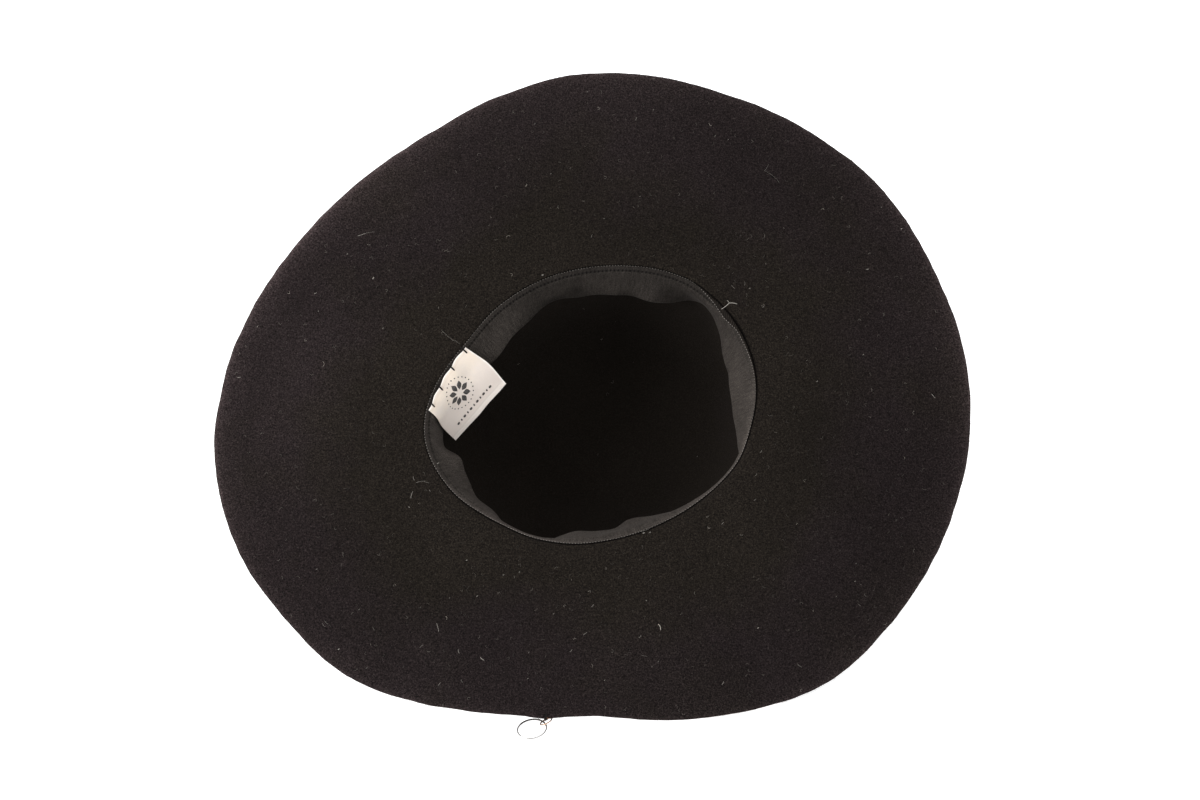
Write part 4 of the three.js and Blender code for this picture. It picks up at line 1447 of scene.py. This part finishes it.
def ring_path(sizes, axis, start=0, end=360, count=96):
    middle, first, second, _ = ring_frame(sizes, axis)
    turn = np.radians(np.linspace(start, end, count, endpoint=end - start < 360))[:, None]
    return middle + sizes["radius"] * (first * np.cos(turn) + second * np.sin(turn))


def wire_material(name, metal, felt_reflection, roughness):
    """Drawn wire, polished, with faint die marks, a slightly uneven shine, and a painted dark reflection
    of the felt on the side that lies by it"""
    material, tree, shader = new_material(name, {"Metallic": 1, "Roughness": roughness})
    place = own_place(tree)
    marks = noise(tree, place, 1800, detail=3)
    # The side towards the felt is painted dark, as a painted reflection of the black felt
    away = add_node(tree, "ShaderNodeSeparateXYZ", {0: place}).outputs[1]
    in_millimetres = combine(tree, "MULTIPLY", combine(tree, "SUBTRACT", away, brim_edge[1] * MM), 1000.0)
    by_felt = combine(tree, "ADD", in_millimetres, combine(tree, "MULTIPLY", marks, FELT_REFLECTION_PATCHINESS))
    shown = add_node(
        tree,
        "ShaderNodeMapRange",
        {0: by_felt, 1: FELT_REFLECTION_FROM, 2: FELT_REFLECTION_TO, 3: 0.0, 4: 1.0},
    ).outputs[0]
    tree.links.new(mix(tree, shown, (*metal, 1), (*felt_reflection, 1)), shader.inputs["Base Color"])
    dulled = ramp(tree, noise(tree, place, 500, detail=2), [(0.3, roughness), (0.7, 1.8 * roughness)])
    tree.links.new(dulled, shader.inputs["Roughness"])
    emboss(tree, shader, marks, 0.15, 0.05)
    return material


gold_wire = wire_material("gold_tone_wire", (0.6, 0.42, 0.3), (0.14, 0.07, 0.04), 0.2)
cut_half = math.degrees(JUMP_RING_CUT_WIDTH / 2 / JUMP_RING["radius"])
jump_path = ring_path(
    JUMP_RING, JUMP_RING_AXIS, JUMP_RING_CUT + cut_half, JUMP_RING_CUT + 360 - cut_half
)
jump_points, jump_faces = tube(jump_path, JUMP_RING["wire"] / 2, WIRE_SIDES)
jump_ring = add_object("jump_ring_wire", jump_points * MM, jump_faces, gold_wire)
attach(jump_ring, "root")
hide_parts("jump_ring")

# Thread from a hole just inside the cut edge, out over that edge, round the ring and back
TURNS = 6
THREAD = 0.3
HOLE_INSET = 2.4
TURN_SPREAD = 0.34
TURN_STRAY = 0.18
TURN_SEED = 17
THREAD_SLACK = 0.05
thread_side = on_table(brim_middle(np.array([RING_HEADING - 1, RING_HEADING + 1]), 1)) / MM
edge_way = thread_side[1] - thread_side[0]
edge_way /= np.linalg.norm(edge_way)
inward = on_table(brim_middle(np.array([RING_HEADING]), 0.97))[0] / MM - brim_edge
inward /= np.linalg.norm(inward)
upward = np.cross(edge_way, inward)
upward *= np.sign(upward[2])
ring_middle, _, _, ring_axis = ring_frame(JUMP_RING, JUMP_RING_AXIS)
to_edge = brim_edge - ring_middle
to_edge -= ring_axis * (to_edge @ ring_axis)
to_edge /= np.linalg.norm(to_edge)
wire_side = np.cross(ring_axis, to_edge)
around_wire = JUMP_RING["wire"] / 2 + THREAD / 2 + THREAD_SLACK


def closed_line(corners, count):
    """A smooth closed line through a few points"""
    corners = np.array(corners)
    place = np.linspace(0, len(corners), count, endpoint=False)
    start = place.astype(int)
    u = (place - start)[:, None]
    before, a, b, after = (corners[(start + step) % len(corners)] for step in (-1, 0, 1, 2))
    return 0.5 * (
        2 * a
        + (b - before) * u
        + (2 * before - 5 * a + 4 * b - after) * u**2
        + (3 * a - before - 3 * b + after) * u**3
    )


random = np.random.default_rng(TURN_SEED)
turn_parts = []
for index in range(TURNS):
    offset = (index - (TURNS - 1) / 2) * TURN_SPREAD
    stray = random.uniform(-TURN_STRAY, TURN_STRAY, size=3)
    hole = brim_edge + edge_way * (0.5 * offset + stray[0]) + inward * (HOLE_INSET + stray[1])
    lip = brim_edge + edge_way * (0.9 * offset) + upward * (FELT / 2 + 0.1) + inward * 0.1
    wire = ring_middle + to_edge * JUMP_RING["radius"] + wire_side * offset
    corners = [
        hole,
        hole + upward * (FELT / 2 + 0.2),
        brim_edge + edge_way * (0.7 * offset) + upward * (FELT / 2 + 0.22) + inward * 1.2,
        lip,
        wire + ring_axis * around_wire,
        wire - to_edge * around_wire,
        wire - ring_axis * around_wire,
        brim_edge + edge_way * (0.9 * offset) + inward * 0.2,
    ]
    turn_parts.append(tube(closed_line(corners, 48), THREAD / 2, 8, closed=True))
turn_points, turn_faces = gathered(turn_parts)
ring_thread = add_object("ring_thread", turn_points * MM, turn_faces, black_thread)
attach(ring_thread, "root")


# Edge hoop
# A larger hoop bent from silver-tone wire, its ends joined. It hangs on the jump ring and lies on
# the table.
HOOP = {"radius": 8.8, "wire": 1.0, "right": -7.7, "away": -10.7, "height": 1.62}
HOOP_AXIS = (-0.12, 0.045, 1)
silver_wire = wire_material("silver_tone_wire", (0.52, 0.51, 0.5), (0.04, 0.036, 0.032), 0.2)
hoop_path = ring_path(HOOP, HOOP_AXIS, count=128)
hoop_points, hoop_faces = tube(hoop_path, HOOP["wire"] / 2, WIRE_SIDES, closed=True)
hoop = add_object("edge_hoop_wire", hoop_points * MM, hoop_faces, silver_wire)
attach(hoop, "root")
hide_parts("edge_hoop")


# Lint
# Pale threads and specks that have settled on the felt and the ribbon, each where it lies in the
# photograph: from and to are its ends there in pixels, and bulge is how far its middle bows.
LINT = np.array(
    [
        (721.7, 308.9, 729.3, 303.1, 0.4, 0.26, 0.75), (729.3, 303.1, 736.9, 304.0, -0.4, 0.24, 0.7),
        (729.3, 303.1, 727.1, 300.4, 0.2, 0.2, 0.6), (541.8, 275.2, 543.4, 275.0, 0, 0.36, 0.55),
        (658.2, 624.2, 660.6, 630.0, -0.8, 0.26, 0.7), (646.0, 600.0, 646.6, 601.0, 0, 0.24, 0.4),
        (583.4, 634.8, 586.6, 632.2, 0.4, 0.14, 0.5), (638.8, 637.6, 641.2, 635.4, 0.3, 0.14, 0.5),
        (569.8, 651.9, 572.2, 649.3, 0.3, 0.14, 0.5), (591.6, 606.8, 593.8, 604.4, 0.2, 0.14, 0.5),
        (721.9, 684.6, 723.7, 681.4, 0.3, 0.14, 0.5), (760.0, 452.8, 762.0, 450.2, 0.3, 0.12, 0.45),
        (754.1, 500.6, 755.9, 498.6, 0.3, 0.12, 0.45), (755.3, 475.8, 756.7, 473.6, 0.3, 0.12, 0.45),
        (721.4, 524.2, 723.6, 522.2, 0.3, 0.12, 0.45), (437.2, 463.8, 438.8, 463.0, 0, 0.3, 0.5),
        (643.0, 533.6, 644.4, 532.8, 0, 0.3, 0.6), (649.3, 532.6, 650.7, 532.2, 0, 0.26, 0.5),
        (640.0, 531.0, 649.0, 529.0, 0.8, 0.1, 0.35), (441.8, 330.2, 452.7, 340.0, 0.6, 0.1, 0.35),
        (452.7, 340.0, 459.6, 344.0, -0.4, 0.1, 0.3), (697.2, 456.8, 698.0, 456.2, 0, 0.2, 0.3),
        (749.2, 288.6, 750.4, 288.2, 0, 0.24, 0.4), (762.7, 307.2, 763.9, 306.8, 0, 0.24, 0.4),
        (731.4, 285.2, 734.8, 288.4, 0.3, 0.12, 0.35), (866.5, 269.4, 868.6, 269.0, 0.2, 0.3, 0.5),
        (413.2, 476.4, 414.3, 480.4, 0.2, 0.16, 0.4), (416.2, 482.6, 424.4, 481.2, -0.3, 0.12, 0.3),
        (424.4, 481.2, 429.0, 483.0, 0.4, 0.12, 0.3), (412.8, 491.6, 410.8, 498.2, 0.3, 0.18, 0.45),
        (408.6, 506.8, 409.6, 507.6, 0, 0.24, 0.45), (429.4, 490.2, 430.4, 491.6, 0, 0.18, 0.35),
        (316.2, 569.6, 317.4, 568.8, 0, 0.24, 0.3), (358.7, 609.9, 359.7, 609.1, 0, 0.22, 0.3),
        (322.5, 623.3, 325.0, 626.7, 0.3, 0.12, 0.35), (324.8, 620.8, 327.8, 624.3, 0.3, 0.1, 0.3),
        (338.1, 649.7, 339.3, 648.7, 0, 0.34, 0.6), (436.5, 623.3, 438.8, 631.7, -0.3, 0.14, 0.5),
        (372.8, 626.7, 374.5, 630.3, 0.3, 0.1, 0.25), (423.3, 645.0, 419.8, 648.2, 0.3, 0.1, 0.3),
        (366.2, 668.4, 367.2, 667.6, 0, 0.2, 0.3), (466.1, 560.6, 467.3, 560.0, 0, 0.32, 0.5),
        (503.0, 575.4, 504.0, 574.6, 0, 0.24, 0.35), (519.1, 572.7, 519.9, 571.7, 0, 0.26, 0.4),
        (476.7, 596.6, 477.7, 595.8, 0, 0.3, 0.45), (449.2, 598.3, 450.2, 597.7, 0, 0.2, 0.3),
        (458.2, 649.6, 459.4, 653.3, 0.3, 0.18, 0.5), (480.5, 657.5, 484.2, 660.3, 0.4, 0.22, 0.6),
        (527.3, 679.1, 528.3, 678.3, 0, 0.26, 0.4), (528.4, 653.0, 529.2, 652.0, 0, 0.2, 0.3),
        (440.8, 682.5, 438.3, 685.8, 0.2, 0.14, 0.4), (461.0, 679.5, 463.0, 682.5, 0.4, 0.12, 0.3),
        (553.2, 614.1, 554.2, 613.3, 0, 0.22, 0.3), (604.3, 680.7, 605.1, 679.9, 0, 0.22, 0.35),
        (641.3, 655.0, 647.5, 656.2, 0.5, 0.08, 0.25), (658.0, 662.0, 658.8, 661.2, 0, 0.2, 0.3),
        (757.3, 628.3, 758.7, 627.7, 0, 0.32, 0.5), (854.6, 581.8, 855.4, 581.0, 0, 0.26, 0.3),
        (855.6, 563.9, 856.4, 563.3, 0, 0.2, 0.25), (797.6, 664.0, 801.6, 667.2, 0.4, 0.12, 0.3),
        (836.0, 597.0, 836.8, 596.2, 0, 0.18, 0.25), (857.8, 603.4, 861.0, 606.0, 0.4, 0.1, 0.25),
        (635.6, 120.4, 636.5, 117.0, 0.2, 0.12, 0.4), (653.0, 110.2, 653.8, 109.6, 0, 0.24, 0.35),
        (534.4, 124.3, 535.2, 123.7, 0, 0.22, 0.35), (518.4, 159.5, 519.2, 158.9, 0, 0.2, 0.3),
        (550.4, 174.2, 551.2, 173.6, 0, 0.2, 0.3), (586.9, 92.3, 587.7, 91.7, 0, 0.22, 0.35),
        (603.7, 219.0, 604.5, 218.4, 0, 0.2, 0.3), (639.7, 196.8, 640.5, 196.2, 0, 0.2, 0.3),
        (591.0, 237.3, 592.1, 234.6, 0.2, 0.12, 0.4), (931.8, 394.1, 935.2, 398.0, 0.3, 0.16, 0.55),
        (863.0, 355.0, 863.8, 354.4, 0, 0.26, 0.5), (357.8, 235.9, 365.3, 233.4, 0.3, 0.18, 0.55),
        (365.3, 233.4, 374.9, 232.0, -0.3, 0.1, 0.3), (372.9, 279.0, 373.9, 277.4, 0, 0.34, 0.65),
        (314.3, 293.6, 316.7, 292.8, 0.2, 0.22, 0.45), (347.1, 254.4, 347.9, 253.8, 0, 0.24, 0.4),
        (318.0, 311.6, 318.8, 311.0, 0, 0.22, 0.4), (257.2, 327.4, 258.0, 325.8, 0, 0.22, 0.45),
        (237.7, 377.6, 240.5, 377.2, 0.2, 0.24, 0.45), (382.6, 328.6, 383.4, 328.0, 0, 0.24, 0.4),
        (900.9, 229.2, 901.9, 228.6, 0, 0.34, 0.65), (816.6, 381.9, 817.6, 381.1, 0, 0.3, 0.5),
        (714.7, 136.2, 715.5, 135.6, 0, 0.22, 0.35), (727.9, 140.0, 728.7, 139.4, 0, 0.22, 0.35),
        (764.2, 170.7, 779.3, 182.8, -1.4, 0.08, 0.3), (765.0, 170.7, 768.8, 163.9, 0.3, 0.08, 0.28),
        (806.5, 360.7, 807.3, 360.1, 0, 0.2, 0.35), (881.0, 207.6, 881.8, 207.0, 0, 0.22, 0.35),
    ],
    dtype=[
        ("from_x", float), ("from_y", float), ("to_x", float), ("to_y", float),
        ("bulge", float), ("width", float), ("tone", float),
    ],
)
LINT_STEPS = 7
LINT_SIDES = 6
LINT_ARCH = 0.25
pixels_per_slope = LENS / SENSOR * PICTURE[0]
seen = bpy.context.evaluated_depsgraph_get()


def under_pixel(x, y, lift):
    """The point that a pixel of the photograph shows, lifted off its surface by so much"""
    across = (x - PICTURE[0] / 2) / pixels_per_slope
    above = (PICTURE[1] / 2 - y) / pixels_per_slope
    way = (right * across + up * above - back).normalized()
    place, normal = bpy.context.scene.ray_cast(seen, eye, way)[1:3]
    return np.array(place + normal * lift * MM)


lint_parts = []
lint_tones = []
for thread in LINT:
    start = np.array((thread["from_x"], thread["from_y"]))
    end = np.array((thread["to_x"], thread["to_y"]))
    sideways = np.array((start[1] - end[1], end[0] - start[0])) / np.linalg.norm(end - start)
    path = []
    for share in np.linspace(0, 1, LINT_STEPS):
        arch = 4 * share * (1 - share)
        x, y = start + (end - start) * share + sideways * thread["bulge"] * arch
        path.append(under_pixel(x, y, thread["width"] / 2 + LINT_ARCH * arch))
    part = tube(path, thread["width"] / 2 * MM, LINT_SIDES)
    lint_parts.append(part)
    lint_tones.append(np.full(len(part[0]), thread["tone"]))
lint_material, lint_tree, lint_shader = new_material(
    "pale_lint", {"Roughness": 0.8, "Specular IOR Level": 0.3}
)
lint_tone = stored(lint_tree, "tone")
lint_place = own_place(lint_tree)
lint_speckle = ramp(lint_tree, noise(lint_tree, lint_place, 3000), [(0.3, 0.8), (0.7, 1.0)])
lint_colour = ramp(lint_tree, lint_tone, [(0, (0.05, 0.045, 0.04)), (1, (0.75, 0.7, 0.63))])
lint_mixed = mix(lint_tree, 1, lint_colour, lint_speckle, "MULTIPLY")
lint_tree.links.new(lint_mixed, lint_shader.inputs["Base Color"])
lint_points, lint_faces = gathered(lint_parts)
lint = add_object("lint", lint_points, lint_faces, lint_material)
store(lint, "tone", np.concatenate(lint_tones))
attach(lint, "root")
